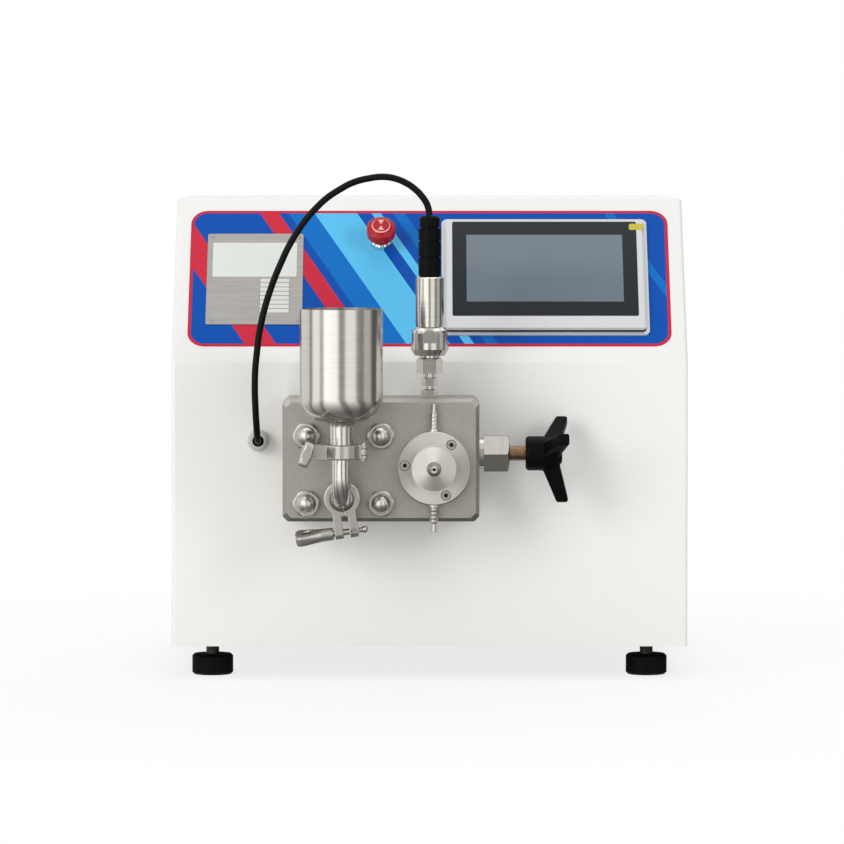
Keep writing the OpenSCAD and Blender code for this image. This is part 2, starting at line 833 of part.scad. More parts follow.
module cooling_jacket() {
  bevel = 1;
  recess = 3;
  recess_diameter = 46;
  groove_width = 1.2;
  groove_diameter = nozzle_diameter + 5;
  r = jacket_diameter / 2;
  color(bright_steel) on_front(jacket_x, jacket_z) difference() {
    translate([0, 0, block_thick])
      turned([[nozzle_spigot / 2 + fit, recess], [recess_diameter / 2, recess],
        [recess_diameter / 2, 0], [r, 0], [r, jacket_thick - bevel],
        [r - bevel, jacket_thick],
        [groove_diameter / 2 + groove_width, jacket_thick],
        [groove_diameter / 2 + groove_width, jacket_thick - groove_width],
        [groove_diameter / 2, jacket_thick - groove_width],
        [groove_diameter / 2, jacket_thick],
        [nozzle_spigot / 2 + fit, jacket_thick]]);
    at_jacket_screws() translate([0, 0, block_thick]) {
      translate([0, 0, -over])
        cylinder(h = jacket_thick + 2 * over, d = jacket_screw + 2 * fit);
      translate([0, 0, jacket_thick - jacket_head_height])
        cylinder(h = jacket_head_height + over, d = jacket_screw_head + 4 * gap);
    }
    for (up = [-1, 1])
      translate([0, up * (r - barb_spigot), barb_u]) rotate([-90 * up, 0, 0])
        cylinder(h = barb_spigot + over, d = barb_diameter + 2 * fit);
  }
}

module outlet_nozzle() {
  flange = 4;
  face = 3;
  nub = 7;
  spigot_reach = jacket_thick - 4;
  r = nozzle_diameter / 2;
  bore = nozzle_bore / 2;
  color(bright_steel) on_front(jacket_x, jacket_z) translate([0, 0, block_thick + jacket_thick])
    turned([[bore, -spigot_reach], [nozzle_spigot / 2, -spigot_reach], [nozzle_spigot / 2, 0],
      [r, 0], [r, flange], [nub, flange + face], [nub / 2, nozzle_length],
      [bore, nozzle_length]]);
}

module jacket_screws() {
  socket_flats = 4;
  socket_depth = 2.5;
  color(dark_grey) on_front(jacket_x, jacket_z) at_jacket_screws()
    translate([0, 0, block_thick + jacket_thick - jacket_head_height]) difference() {
      union() {
        cylinder(h = jacket_head_height, d = jacket_screw_head);
        translate([0, 0, jacket_head_height - jacket_thick - jacket_screw_depth + fit])
          cylinder(h = jacket_thick + jacket_screw_depth - jacket_head_height,
            d = jacket_screw);
      }
      translate([0, 0, jacket_head_height - socket_depth])
        hexagon(socket_flats, socket_depth + over);
    }
}

// A hose barb: spigot, collar, plain tube and two ridges near the collar
module hose_barb(length) {
  bore = barb_diameter / 2 - 1.2;
  r = barb_diameter / 2;
  collar = 1.6;
  collar_length = 4;
  ridge = 0.8;
  ridge_pitch = 4;
  ridge_base = collar_length + 2;
  difference() {
    union() {
      translate([0, 0, -barb_spigot + fit]) cylinder(h = barb_spigot + length - fit, r = r);
      cylinder(h = collar_length, r = r + collar);
      for (i = [0 : 1])
        translate([0, 0, ridge_base + i * ridge_pitch])
          cylinder(h = ridge_pitch - 1, r1 = r + ridge, r2 = r);
    }
    translate([0, 0, -barb_spigot - over]) cylinder(h = barb_spigot + length + 2 * over, r = bore);
  }
}

module coolant_barbs() {
  color(steel) on_front(jacket_x, jacket_z) for (up = [-1, 1])
    translate([0, up * jacket_diameter / 2, barb_u]) rotate([-90 * up, 0, 0])
      hose_barb(up > 0 ? upper_barb_length : lower_barb_length);
}

// Homogenizing valve: local Z runs from the block's side to the right

bonnet_spigot = 12;
stem_seal_length = 4;
knob_base = neck_length + bonnet_length + stem_shown;
push_rod_face = valve_seat_length + valve_travel_gap - valve_bore_depth;
push_rod_length = 8.5;
stem_socket = 10;

module valve_bonnet() {
  neck_diameter = 30;
  chamfer = 2;
  color(steel) on_valve_axis() difference() {
    union() {
      translate([0, 0, -bonnet_spigot]) cylinder(h = bonnet_spigot + over, d = valve_bore);
      cylinder(h = neck_length, d = neck_diameter);
      translate([0, 0, neck_length]) rotate([0, 0, 30])
        chamfered_hexagon(bonnet_flats, bonnet_length, chamfer);
    }
    translate([0, 0, -bonnet_spigot - over])
      cylinder(h = bonnet_spigot + neck_length + bonnet_length + 2 * over,
        d = valve_stem_diameter + 2 * run_fit);
  }
}

module valve_stem() {
  stem_base = push_rod_face + push_rod_length + fit;
  color(bronze) on_valve_axis() translate([0, 0, stem_base])
    cylinder(h = knob_base + stem_socket - fit - stem_base, d = valve_stem_diameter);
}

// One arm of the knob: a flat tapering bar that leans out from the hub
module knob_arm() {
  edge = 2.5;
  root = [15, 18];
  tip = [12, 12];
  root_reach = 10;
  root_middle = hub_length + 6.5;
  tip_middle = hub_length + arm_lean - tip.y / 2;
  hull() {
    for (sx = [-1, 1], sz = [-1, 1]) {
      translate([root_reach, sx * (root.x / 2 - edge), root_middle + sz * (root.y / 2 - edge)])
        sphere(edge, $fn = 20);
      translate([arm_reach - edge, sx * (tip.x / 2 - edge), tip_middle + sz * (tip.y / 2 - edge)])
        sphere(edge, $fn = 20);
    }
  }
}

module handle_knob() {
  arm_angles = [70, 190, 310];
  bevel = 2;
  crown = 18;
  crown_r = 11;
  r = hub_diameter / 2;
  color(black) on_valve_axis() translate([0, 0, knob_base]) difference() {
    union() {
      turned([[0, 0], [r - bevel, 0], [r, bevel], [r, hub_length],
        [crown_r, hub_length + crown - bevel], [crown_r - bevel, hub_length + crown],
        [0, hub_length + crown]]);
      for (angle = arm_angles)
        rotate([0, 0, angle + 180]) knob_arm();
    }
    translate([0, 0, -over])
      cylinder(h = stem_socket + over, d = valve_stem_diameter + 2 * fit);
  }
}

module valve_push_rod() {
  nose = 10;
  nose_length = 3;
  r = valve_bore / 2;
  color(dark_grey) on_valve_axis() translate([0, 0, push_rod_face])
    turned([[0, 0], [nose / 2, 0], [r - run_fit, nose_length],
      [r - run_fit, push_rod_length], [0, push_rod_length]]);
}

module valve_seat() {
  color(dark_grey) on_valve_axis() translate([0, 0, -valve_bore_depth]) difference() {
    cylinder(h = valve_seat_length, d = valve_bore);
    translate([0, 0, -over]) cylinder(h = valve_seat_length + 2 * over, d = passage);
  }
}

module valve_seal() {
  color(black) on_valve_axis() translate([0, 0, -bonnet_spigot - stem_seal_length]) difference() {
    cylinder(h = stem_seal_length, d = valve_bore);
    translate([0, 0, -over])
      cylinder(h = stem_seal_length + 2 * over, d = valve_stem_diameter + 2 * run_fit);
  }
}

// Pressure transducer: heights above the block's top

port_hex = 8.5;
port_tube = 8;
nut_base = 11.5;
nut_height = 8;
sensor_stub = 11;
sensor_stub_base = nut_base + 4;
sensor_hex_base = 23.5;
sensor_hex_height = 15;
sensor_groove = 2;
sensor_height = 47.5;
sensor_base_z = sensor_hex_base + sensor_hex_height + sensor_groove;
sensor_top = sensor_base_z + sensor_base_height + sensor_height;
plug_length = 58.5;

module gauge_fitting() {
  chamfer = 1;
  color(steel) on_gauge_axis() difference() {
    union() {
      translate([0, 0, fit - gauge_thread_depth])
        cylinder(h = gauge_thread_depth, d = gauge_thread);
      chamfered_hexagon(port_flats, port_hex, chamfer);
      cylinder(h = sensor_stub_base - fit, d = port_tube);
    }
    translate([0, 0, -gauge_thread_depth - over])
      cylinder(h = gauge_thread_depth + sensor_stub_base + 2 * over, d = passage / 2);
  }
}

module gauge_nut() {
  chamfer = 1;
  color(steel) on_gauge_axis() translate([0, 0, nut_base]) difference() {
    chamfered_hexagon(port_flats, nut_height, chamfer);
    translate([0, 0, -over]) cylinder(h = nut_height + 2 * over, d = port_tube + 2 * fit);
    translate([0, 0, sensor_stub_base - nut_base - fit])
      cylinder(h = nut_height, d = sensor_stub + 2 * fit);
  }
}

module transducer_body() {
  lip = 1;
  foot = [3.7, 6];
  ease = [0.8, 6, 3.5];
  neck = 0.6;
  neck_height = 2.5;
  flat_inset = 1.2;
  flat_base = 12.2;
  groove_diameter = 20;
  base_r = sensor_base_diameter / 2;
  barrel_r = sensor_diameter / 2;
  shoulder = sensor_base_z + sensor_base_height;
  color(bright_steel) on_gauge_axis() difference() {
    union() {
      translate([0, 0, sensor_stub_base])
        cylinder(h = sensor_hex_base - sensor_stub_base + over, d = sensor_stub);
      translate([0, 0, sensor_hex_base]) chamfered_hexagon(sensor_flats, sensor_hex_height, 2);
      translate([0, 0, sensor_hex_base + sensor_hex_height - over])
        cylinder(h = sensor_groove + 2 * over, d = groove_diameter);
      turned([[0, sensor_base_z], [base_r - foot.x, sensor_base_z],
        [base_r, sensor_base_z + foot.y], [base_r, shoulder - ease[1]],
        [base_r - ease[0], shoulder - ease[2]], [barrel_r - neck, shoulder],
        [barrel_r - neck, shoulder + neck_height], [barrel_r, shoulder + neck_height],
        [barrel_r, sensor_top - lip], [barrel_r - lip, sensor_top], [0, sensor_top]]);
    }
    for (turn = [0 : 90 : 270])
      rotate([0, 0, turn]) translate([base_r - flat_inset, -base_r, sensor_base_z + flat_base])
        cube([base_r, 2 * base_r, sensor_base_height - flat_base]);
  }
}

module connector_plug() {
  r = plug_diameter / 2;
  notch = 1.2;
  slot = 1.5;
  ring_top = 18.5;
  band = 34;
  body_top = 46.5;
  cap = 1;
  cap_round = 2;
  color(black) on_gauge_axis() translate([0, 0, sensor_top])
    turned([[0, 0], [r - notch, 0], [r - notch, slot], [r, slot], [r, ring_top],
      [r - notch, ring_top], [r - notch, ring_top + slot], [r, ring_top + slot],
      [r, band], [r - notch, band], [r - notch, band + slot], [r, band + slot],
      [r, body_top], [r - 2 * notch, body_top], [r - 2 * notch, body_top + slot],
      [r - cap, body_top + slot], [r - cap, plug_length - cap_round],
      [r - cap - cap_round, plug_length], [0, plug_length]]);
}

// Sensor cable: points as [across, out from the front panel, height]

gland_mouth = 9;
cable_route = [[-165.5, 9, 231], [-165.5, 16, 231], [-165.5, 24, 232], [-165.7, 33, 237],
  [-166, 39.5, 245], [-166.6, 43, 256], [-167.2, 45, 270], [-167.5, 46, 286], [-167, 46.5, 302],
  [-165.5, 47, 317], [-163.8, 47, 332], [-161, 47.5, 347], [-157.5, 48, 361.5], [-153, 48, 376],
  [-148, 48, 390], [-142, 48.5, 404], [-135.5, 48.5, 418], [-128, 49, 431], [-119.5, 49, 443.5],
  [-110, 49, 454.5], [-99, 49, 465], [-86.5, 49, 473.5], [-73, 49.5, 480.5],
  [-58.5, 49.5, 484.5], [-43.5, 50, 486], [-32, 50, 484], [-22.5, 50, 480], [-15, 50, 475],
  [-7.5, 50, 467.5], [-2, 50, 458.5], [0, 50, 448.7]];
cable_sides = 10;

function unit(v) = v / norm(v);
function cable_point(i) = [cable_route[i][0], y_front - cable_route[i][1], cable_route[i][2]];
function cable_run(i) =
  i == 0 ? [0, -1, 0]
    : i == len(cable_route) - 1 ? [0, 0, -1]
      : unit(cable_point(i + 1) - cable_point(i - 1));
function cable_side(i) = unit(cross(cable_run(i), [1, 1, 0]));
function cable_ring(i) = [for (k = [0 : cable_sides - 1])
  cable_point(i) + cable_diameter / 2 * (cos(360 * k / cable_sides) * cable_side(i)
  + sin(360 * k / cable_sides) * cross(cable_run(i), cable_side(i)))];

module sensor_cable() {
  last = len(cable_route) - 1;
  rings = [for (i = [0 : last], p = cable_ring(i)) p];
  walls = [for (i = [0 : last - 1], k = [0 : cable_sides - 1], half = [0, 1])
    let (a = i * cable_sides + k,
    b = i * cable_sides + (k + 1) % cable_sides,
    c = b + cable_sides,
    d = a + cable_sides)
    half == 0 ? [a, c, b] : [a, d, c]];
  caps = [[for (k = [0 : cable_sides - 1]) k],
    [for (k = [cable_sides - 1 : -1 : 0]) last * cable_sides + k]];
  color(black) polyhedron(rings, concat(walls, caps));
}

module cable_gland() {
  r = gland_diameter / 2;
  body = 8;
  dome = 5;
  mouth_r = 5.5;
  shank_length = 14;
  locknut_thick = 4;
  locknut_flats = 19;
  color([0.7, 0.7, 0.7]) on_front(gland_x, gland_z) difference() {
    union() {
      turned([[0, 0], [r, 0], [r, body], [r - 1.2, body + dome - 2],
        [mouth_r + 2, body + dome], [0, body + dome]]);
      translate([0, 0, -shank_length]) cylinder(h = shank_length + over, d = gland_shank);
      translate([0, 0, -sheet - locknut_thick]) hexagon(locknut_flats, locknut_thick);
    }
    translate([0, 0, gland_mouth]) cylinder(h = body + dome, r = mouth_r);
    translate([0, 0, -shank_length - over]) cylinder(h = shank_length, d = cable_diameter);
  }
}

// Feed line

// A ferrule's flange with its mating face at height 0
module ferrule_flange(pipe_r, bore_r) {
  depth = flange_depth(pipe_r);
  turned([[bore_r, 0], [ferrule_diameter / 2, 0], [ferrule_diameter / 2, flange_rim],
    [pipe_r, depth], [bore_r, depth]]);
}

// Outline of the hopper, moved in by the wall for its hollow
module hopper_form(skin) {
  r = hopper_diameter / 2;
  neck_r = hopper_neck / 2;
  fillet = 6;
  top = skin > 0 ? over : 0;
  rotate_extrude() {
    translate([0, hopper_corner]) square([r - skin, hopper_height - hopper_corner + top]);
    translate([0, skin]) square([r - hopper_corner, hopper_height - skin]);
    intersection() {
      translate([r - hopper_corner, hopper_corner]) circle(hopper_corner - skin);
      translate([r - hopper_corner, skin]) square(hopper_corner);
    }
    translate([0, gasket_thick / 2 - neck_drop - top])
      square([neck_r - skin, neck_drop - gasket_thick / 2 + hopper_corner + top]);
    difference() {
      translate([0, -fillet]) square([neck_r + fillet, fillet + 2 * skin]);
      translate([neck_r + fillet, -fillet]) circle(fillet + skin);
    }
  }
}

module hopper() {
  color(bright_steel) translate([inlet_x, y_front - hopper_u, hopper_base]) difference() {
    union() {
      hopper_form(0);
      translate([0, 0, gasket_thick / 2 - neck_drop])
        ferrule_flange(hopper_neck / 2, hopper_neck / 2 - hopper_wall);
    }
    hopper_form(hopper_wall);
  }
}

// The elbow's solid or its bore: a straight drop, a quarter bend and a run into the lower clamp
module elbow_form(r) {
  drop = elbow_rise - elbow_radius - gasket_thick / 2;
  run = elbow_reach - elbow_radius - gasket_thick / 2;
  translate([inlet_x, y_front - hopper_u, inlet_z + elbow_radius]) cylinder(h = drop, r = r);
  translate([inlet_x, y_front - hopper_u + elbow_radius, inlet_z + elbow_radius]) rotate([0, 90, 0])
    rotate([0, 0, -90]) rotate_extrude(angle = 90) translate([elbow_radius, 0]) circle(r);
  translate([inlet_x, y_front - hopper_u + elbow_radius, inlet_z]) rotate([-90, 0, 0])
    cylinder(h = run, r = r);
}

module inlet_elbow() {
  r = pipe_diameter / 2;
  color(bright_steel) difference() {
    union() {
      elbow_form(r);
      at_upper_clamp() translate([0, 0, -gasket_thick / 2]) mirror([0, 0, 1])
        ferrule_flange(r, r - pipe_wall);
      at_lower_clamp() translate([0, 0, -gasket_thick / 2]) mirror([0, 0, 1])
        ferrule_flange(r, r - pipe_wall);
    }
    elbow_form(r - pipe_wall);
  }
}

module inlet_ferrule() {
  r = pipe_diameter / 2;
  length = port_standoff + port_depth - gasket_thick / 2 - fit;
  color(bright_steel) at_lower_clamp() translate([0, 0, gasket_thick / 2]) {
    ferrule_flange(r, r - pipe_wall);
    difference() {
      cylinder(h = length, r = r);
      translate([0, 0, -over]) cylinder(h = length + 2 * over, r = r - pipe_wall);
    }
  }
}

module clamp_gasket() {
  bore_r = pipe_diameter / 2 - pipe_wall;
  translate([0, 0, -gasket_thick / 2]) difference() {
    cylinder(h = gasket_thick, d = ferrule_diameter);
    translate([0, 0, -over]) cylinder(h = gasket_thick + 2 * over, r = bore_r);
  }
}

module clamp_gaskets() {
  color(white_paint) {
    at_upper_clamp() clamp_gasket();
    at_lower_clamp() clamp_gasket();
  }
}

// Pipe clamps, in their own frame: pipe along Z, ears at -X, nut side towards -Y

jaw_split = 0.4;
lip_radius = hopper_neck / 2 + 0.5;
hinge_pin = 4;
hinge_offset = clamp_diameter / 2 + 3;
knuckle_diameter = hinge_pin + 4.5;
pivot_y = (ear_gap + ear_thick) / 2;
ear_end = bolt_offset + 6;
eye_thick = 7;
eye_diameter = 10;
tail_reach = 10;
tail_radius = 3.4;

// Room for the two flanges and the pipe inside a clamp's ring
module flange_room() {
  rim = gasket_thick / 2 + flange_rim + fit;
  reach = ferrule_diameter / 2 + fit;
  lip = rim + (reach - lip_radius) * tan(flange_taper);
  half = clamp_width / 2 + over;
  turned([[0, -half], [lip_radius, -half], [lip_radius, -lip], [reach, -rim],
    [reach, rim], [lip_radius, lip], [lip_radius, half], [0, half]]);
}

// One jaw: half a ring with an ear for the bolt and its share of the hinge
module clamp_jaw(side) {
  half = clamp_width / 2;
  ring_r = clamp_diameter / 2;
  bevel = 1;
  knuckle = clamp_width / 2 - 4;
  ear_root = lip_radius + 1;
  far = 2 * ear_end;
  slot = side < 0 ? bolt_diameter + 1 : eye_thick + 2 * gap;
  slot_root = bolt_offset - gap - (side < 0 ? bolt_diameter / 2 : tail_reach + tail_radius);
  difference() {
    union() {
      intersection() {
        turned([[lip_radius, -half], [ring_r - bevel, -half], [ring_r, bevel - half],
          [ring_r, half - bevel], [ring_r - bevel, half], [lip_radius, half]]);
        translate([-far / 2, side > 0 ? jaw_split / 2 : -far - jaw_split / 2, -far / 2]) cube(far);
      }
      translate([0, side > 0 ? ear_gap / 2 : -ear_gap / 2 - ear_thick, 0])
        clamp_ear(ear_root, ear_end, half);
      translate([hinge_offset, 0, -half]) cylinder(h = clamp_width, d = knuckle_diameter);
      translate([ear_root, side > 0 ? jaw_split / 2 : -knuckle_diameter / 2, -half])
        cube([hinge_offset - ear_root, knuckle_diameter / 2 - jaw_split / 2, clamp_width]);
    }
    flange_room();
    knuckle_room(side, knuckle, half);
    translate([hinge_offset, 0, -half - over])
      cylinder(h = clamp_width + 2 * over, d = hinge_pin + 2 * fit);
    translate([-ear_end - over, side > 0 ? jaw_split : -far, -slot / 2])
      cube([ear_end + over - slot_root, far, slot]);
    if (side > 0)
      translate([-bolt_offset, pivot_y, -half - over])
        cylinder(h = clamp_width + 2 * over, d = hinge_pin + 2 * fit);
  }
}

// An ear: a plain lug, rounded at its free end
module clamp_ear(root, end, half) {
  round_end = 5;
  translate([0, ear_thick, 0]) rotate([90, 0, 0]) linear_extrude(ear_thick) {
    translate([-end + round_end, -half]) square([end - round_end - root, 2 * half]);
    translate([-end, -half + round_end]) square([round_end, 2 * half - 2 * round_end]);
    for (sz = [-1, 1])
      translate([-end + round_end, sz * (half - round_end)]) circle(round_end);
  }
}

// Space in the hinge that the other jaw's knuckles take
module knuckle_room(side, knuckle, half) {
  room = knuckle_diameter + 2 * gap;
  if (side < 0)
    translate([hinge_offset, 0, -knuckle - gap]) cylinder(h = 2 * (knuckle + gap), d = room);
  else
    for (base = [-half - over, knuckle])
      translate([hinge_offset, 0, base]) cylinder(h = half + over - knuckle, d = room);
}

module swing_bolt() {
  shank_end = nut_start + nut_length - 6;
  color(steel) difference() {
    union() {
      translate([-bolt_offset, pivot_y, -eye_thick / 2])
        cylinder(h = eye_thick, d = eye_diameter);
      translate([-bolt_offset, pivot_y, 0]) rotate([90, 0, 0])
        cylinder(h = pivot_y + shank_end, d = bolt_diameter);
      translate([-bolt_offset, pivot_y + tail_reach, 0]) rotate([90, 0, 0])
        cylinder(h = tail_reach, r = tail_radius - 1);
      translate([-bolt_offset, pivot_y + tail_reach, 0]) sphere(tail_radius);
    }
    translate([-bolt_offset, pivot_y, -eye_thick])
      cylinder(h = 2 * eye_thick, d = hinge_pin + 2 * run_fit);
  }
}

// A wing nut: a round boss that flares into a flat wing with a cross hole
module wing_nut(turn) {
  corner = 5;
  hole = 9.5;
  hole_from_end = 11;
  color(steel) translate([-bolt_offset, -nut_start, 0]) rotate([90, 0, 0]) rotate([0, 0, turn])
    difference() {
      union() {
        cylinder(h = boss_length, d = boss_diameter);
        hull() {
          translate([0, 0, boss_length - 2]) cylinder(h = 1, d = boss_diameter, $fn = 32);
          for (sx = [-1, 1])
            translate([sx * (wing_width / 2 - corner), 0, nut_length - corner])
              rotate([90, 0, 0])
                cylinder(h = wing_thick, r = corner, center = true, $fn = 32);
        }
      }
      translate([0, 0, -over]) cylinder(h = nut_length - 4, d = bolt_diameter + 2 * run_fit);
      translate([0, 0, nut_length - hole_from_end]) rotate([90, 0, 0])
        cylinder(h = 2 * wing_thick, d = hole, center = true);
    }
}

module clamp_pin_pair() {
  head = 1.2;
  length = clamp_width + 2;
  for (place = [[hinge_offset, 0], [-bolt_offset, pivot_y]])
    translate([place.x, place.y, -length / 2]) {
      cylinder(h = length, d = hinge_pin);
      translate([0, 0, length]) cylinder(h = head, d1 = hinge_pin + 1.5, d2 = hinge_pin);
    }
}

module clamp_pins() {
  color(bright_steel) {
    at_upper_clamp() clamp_pin_pair();
    at_lower_clamp() mirror([0, 0, 1]) clamp_pin_pair();
  }
}

module upper_jaw_front() {
  color(steel) at_upper_clamp() clamp_jaw(-1);
}

module upper_jaw_rear() {
  color(steel) at_upper_clamp() clamp_jaw(1);
}

module upper_swing_bolt() {
  at_upper_clamp() swing_bolt();
}

module upper_wing_nut() {
  at_upper_clamp() wing_nut(70);
}

module lower_jaw_left() {
  color(steel) at_lower_clamp() clamp_jaw(-1);
}

module lower_jaw_right() {
  color(steel) at_lower_clamp() clamp_jaw(1);
}

module lower_swing_bolt() {
  at_lower_clamp() swing_bolt();
}

module lower_wing_nut() {
  at_lower_clamp() wing_nut(74);
}

// Plunger drive: distances behind the front panel, along the plunger axis

front_plate = 18;
carriage_base = 115;
carriage_length = 40;
holder_length = 40;
rear_plate_at = carriage_base + carriage_length + stroke + 55;
rear_plate = 15;
pulley_at = rear_plate_at + rear_plate + 8;
belt_gap = 0.3;
belt_thick = 3;
shaft_diameter = 14;
bearing_diameter = screw_diameter + 26;
screw_tip = carriage_base + 6;
plate_rise = 58;
plate_reach = rod_offset + rod_diameter / 2 + 12;

// A plate that stands on the base and rises above the plunger axis
module standing_plate(left, right, at, thick) {
  translate([left, y_front + at, base_top])
    cube([right - left, thick, pump_z + plate_rise - base_top]);
}

module drive_frame() {
  rear_right = pump_x + motor_offset + motor_width / 2 + 8;
  rail = 20;
  color(steel) difference() {
    union() {
      standing_plate(pump_x - plate_reach, pump_x + plate_reach, sheet, front_plate);
      standing_plate(pump_x - plate_reach, rear_right, rear_plate_at, rear_plate);
      for (side = [-1, 1]) {
        on_drive_axis(pump_x + side * rod_offset) translate([0, 0, sheet + front_plate / 2])
          cylinder(h = rear_plate_at - sheet, d = rod_diameter);
        translate([pump_x + side * (plate_reach - rail / 2), y_front + sheet, base_top])
          translate([-rail / 2, 0, 0]) cube([rail, rear_plate_at, rail]);
      }
    }
    on_drive_axis(pump_x) {
      cylinder(h = 2 * front_plate + sheet, d = plunger_hole);
      at_studs() cylinder(h = stud_anchor + sheet + fit, d = stud_diameter + 2 * fit);
      translate([0, 0, rear_plate_at - over])
        cylinder(h = rear_plate + 2 * over, d = bearing_diameter + 2 * fit);
    }
    on_drive_axis(pump_x + motor_offset) translate([0, 0, rear_plate_at - over])
      cylinder(h = rear_plate + 2 * over, d = shaft_diameter + 10);
  }
}

module drive_motor() {
  corner = 8;
  fin_count = 6;
  fin_depth = 3;
  fin_width = 5;
  fin_pitch = 14;
  flange_thick = 10;
  color(dark_grey) on_drive_axis(pump_x + motor_offset)
    translate([0, 0, rear_plate_at - motor_length]) difference() {
      rounded_plate([motor_width, motor_width], corner, motor_length);
      for (i = [1 : fin_count])
        translate([0, 0, motor_length - flange_thick - i * fin_pitch]) difference() {
          rounded_plate([motor_width + over, motor_width + over], corner, fin_width);
          translate([0, 0, -over])
            rounded_plate([motor_width - 2 * fin_depth, motor_width - 2 * fin_depth],
              corner - fin_depth, fin_width + 2 * over);
        }
      translate([0, 0, motor_length - 2 * flange_thick])
        cylinder(h = 2 * flange_thick + over, d = shaft_diameter + 2 * run_fit);
    }
}

// A toothed-belt pulley: a plain rim between two flanges
module belt_pulley(diameter) {
  flange = 2;
  flange_rise = 3;
  cylinder(h = belt_width + 2 * gap, d = diameter);
  for (end = [-flange, belt_width + 2 * gap])
    translate([0, 0, end]) cylinder(h = flange, d = diameter + 2 * flange_rise);
}

module motor_pulley() {
  shaft_in_motor = 18;
  color(bright_steel) on_drive_axis(pump_x + motor_offset) {
    translate([0, 0, rear_plate_at - shaft_in_motor])
      cylinder(h = pulley_at - rear_plate_at + shaft_in_motor + belt_width, d = shaft_diameter);
    translate([0, 0, pulley_at]) belt_pulley(motor_pulley_diameter);
  }
}

// Both pulleys and the space between them, grown by a given distance
module belt_form(grow, width) {
  hull() {
    cylinder(h = width, r = screw_pulley_diameter / 2 + grow, $fn = 48);
    translate([motor_offset, 0, 0])
      cylinder(h = width, r = motor_pulley_diameter / 2 + grow, $fn = 48);
  }
}

module drive_belt() {
  color(black) on_drive_axis(pump_x) translate([0, 0, pulley_at + gap]) difference() {
    belt_form(belt_gap + belt_thick, belt_width);
    translate([0, 0, -over]) belt_form(belt_gap, belt_width + 2 * over);
  }
}

module ball_screw() {
  color(bright_steel) on_drive_axis(pump_x) {
    translate([0, 0, screw_tip])
      cylinder(h = pulley_at + belt_width - screw_tip, d = screw_diameter);
    translate([0, 0, pulley_at]) belt_pulley(screw_pulley_diameter);
  }
}

module screw_bearing() {
  color(dark_grey) on_drive_axis(pump_x) translate([0, 0, rear_plate_at]) difference() {
    cylinder(h = rear_plate, d = bearing_diameter);
    translate([0, 0, -over])
      cylinder(h = rear_plate + 2 * over, d = screw_diameter + 2 * run_fit);
  }
}

module carriage() {
  size = [2 * rod_offset + rod_diameter + 20, 60];
  corner = 6;
  holder_diameter = screw_diameter + 14;
  plunger_socket = 12;
  color(steel) on_drive_axis(pump_x) difference() {
    union() {
      translate([0, 0, carriage_base]) rounded_plate(size, corner, carriage_length);
      translate([0, 0, carriage_base - holder_length])
        cylinder(h = holder_length + over, d = holder_diameter);
    }
    translate([0, 0, carriage_base - holder_length + plunger_socket])
      cylinder(h = holder_length + carriage_length, d = screw_diameter + 2 * run_fit);
    translate([0, 0, carriage_base - holder_length - over])
      cylinder(h = plunger_socket + 2 * over, d = plunger_diameter + 2 * fit);
    for (side = [-1, 1])
      translate([side * rod_offset, 0, carriage_base - over])
        cylinder(h = carriage_length + 2 * over, d = rod_diameter + 2 * run_fit);
  }
}

module plunger() {
  tail = carriage_base - holder_length + 10;
  tip = 1;
  color(bright_steel) on_drive_axis(pump_x)
    turned([[0, -plunger_reach], [plunger_diameter / 2 - tip, -plunger_reach],
      [plunger_diameter / 2, tip - plunger_reach], [plunger_diameter / 2, tail], [0, tail]]);
}

module plunger_seal() {
  color(black) on_front(pump_x, pump_z) difference() {
    cylinder(h = seal_length - fit, d = seal_diameter);
    translate([0, 0, -over])
      cylinder(h = seal_length + 2 * over, d = plunger_diameter + 2 * run_fit);
  }
}

// A check valve cartridge: a sleeve with a conical seat and a ball in it
module check_cartridge() {
  ball = passage + 2;
  cage = ball + 1.5;
  seat_depth = 5;
  difference() {
    cylinder(h = cartridge_length - fit, d = cartridge_diameter);
    translate([0, 0, -over]) cylinder(h = cartridge_length + 2 * over, d = passage);
    translate([0, 0, seat_depth]) cylinder(h = cartridge_length, d = cage);
  }
  translate([0, 0, seat_depth + sqrt(ball * ball - passage * passage) / 2 - fit]) sphere(d = ball);
}

module check_valves() {
  color(steel) {
    on_front(inlet_x, inlet_z) translate([0, 0, block_thick - port_depth]) mirror([0, 0, 1])
      check_cartridge();
    on_valve_axis() translate([0, 0, outlet_cartridge_x - block_right]) check_cartridge();
  }
}

// Mains inlet on the rear panel, as seen from behind

socket_at = -13;
socket_size = [24.5, 17];
socket_depth = 16;
rocker_at = 17;
rocker_size = [26, 12];
rocker_pivot = -3;
rocker_room = 1;

module power_inlet() {
  flange_thick = 3;
  body_depth = 34;
  corner = 4;
  pin_size = [2, 4];
  pin_length = 13;
  pin_spread = 7;
  pin_drop = 2;
  color(black) on_rear(mains_x, mains_z) difference() {
    union() {
      rounded_plate(inlet_flange, corner, flange_thick);
      translate([0, 0, -body_depth]) linear_extrude(body_depth + over)
        square(inlet_body, center = true);
    }
    difference() {
      translate([0, socket_at, flange_thick - socket_depth]) linear_extrude(socket_depth + over)
        polygon(socket_outline());
      translate([0, socket_at, flange_thick - socket_depth - over])
        for (place = [[-pin_spread, -pin_drop], [pin_spread, -pin_drop], [0, pin_drop]])
          translate([place.x - pin_size.x / 2, place.y - pin_size.y / 2, 0])
            cube([pin_size.x, pin_size.y, pin_length + over]);
    }
    translate([0, rocker_at, flange_thick + rocker_pivot])
      rocker_space(rocker_size.x / 2 + rocker_room, rocker_size.y + 2 * gap);
  }
}

// Outline of the socket: a rectangle with its two upper corners cut
function socket_outline() =
  let (w = socket_size.x / 2, h = socket_size.y / 2, c = 4)
    [[-w, -h], [w, -h], [w, h - c], [w - c, h], [-w + c, h], [-w, h - c]];

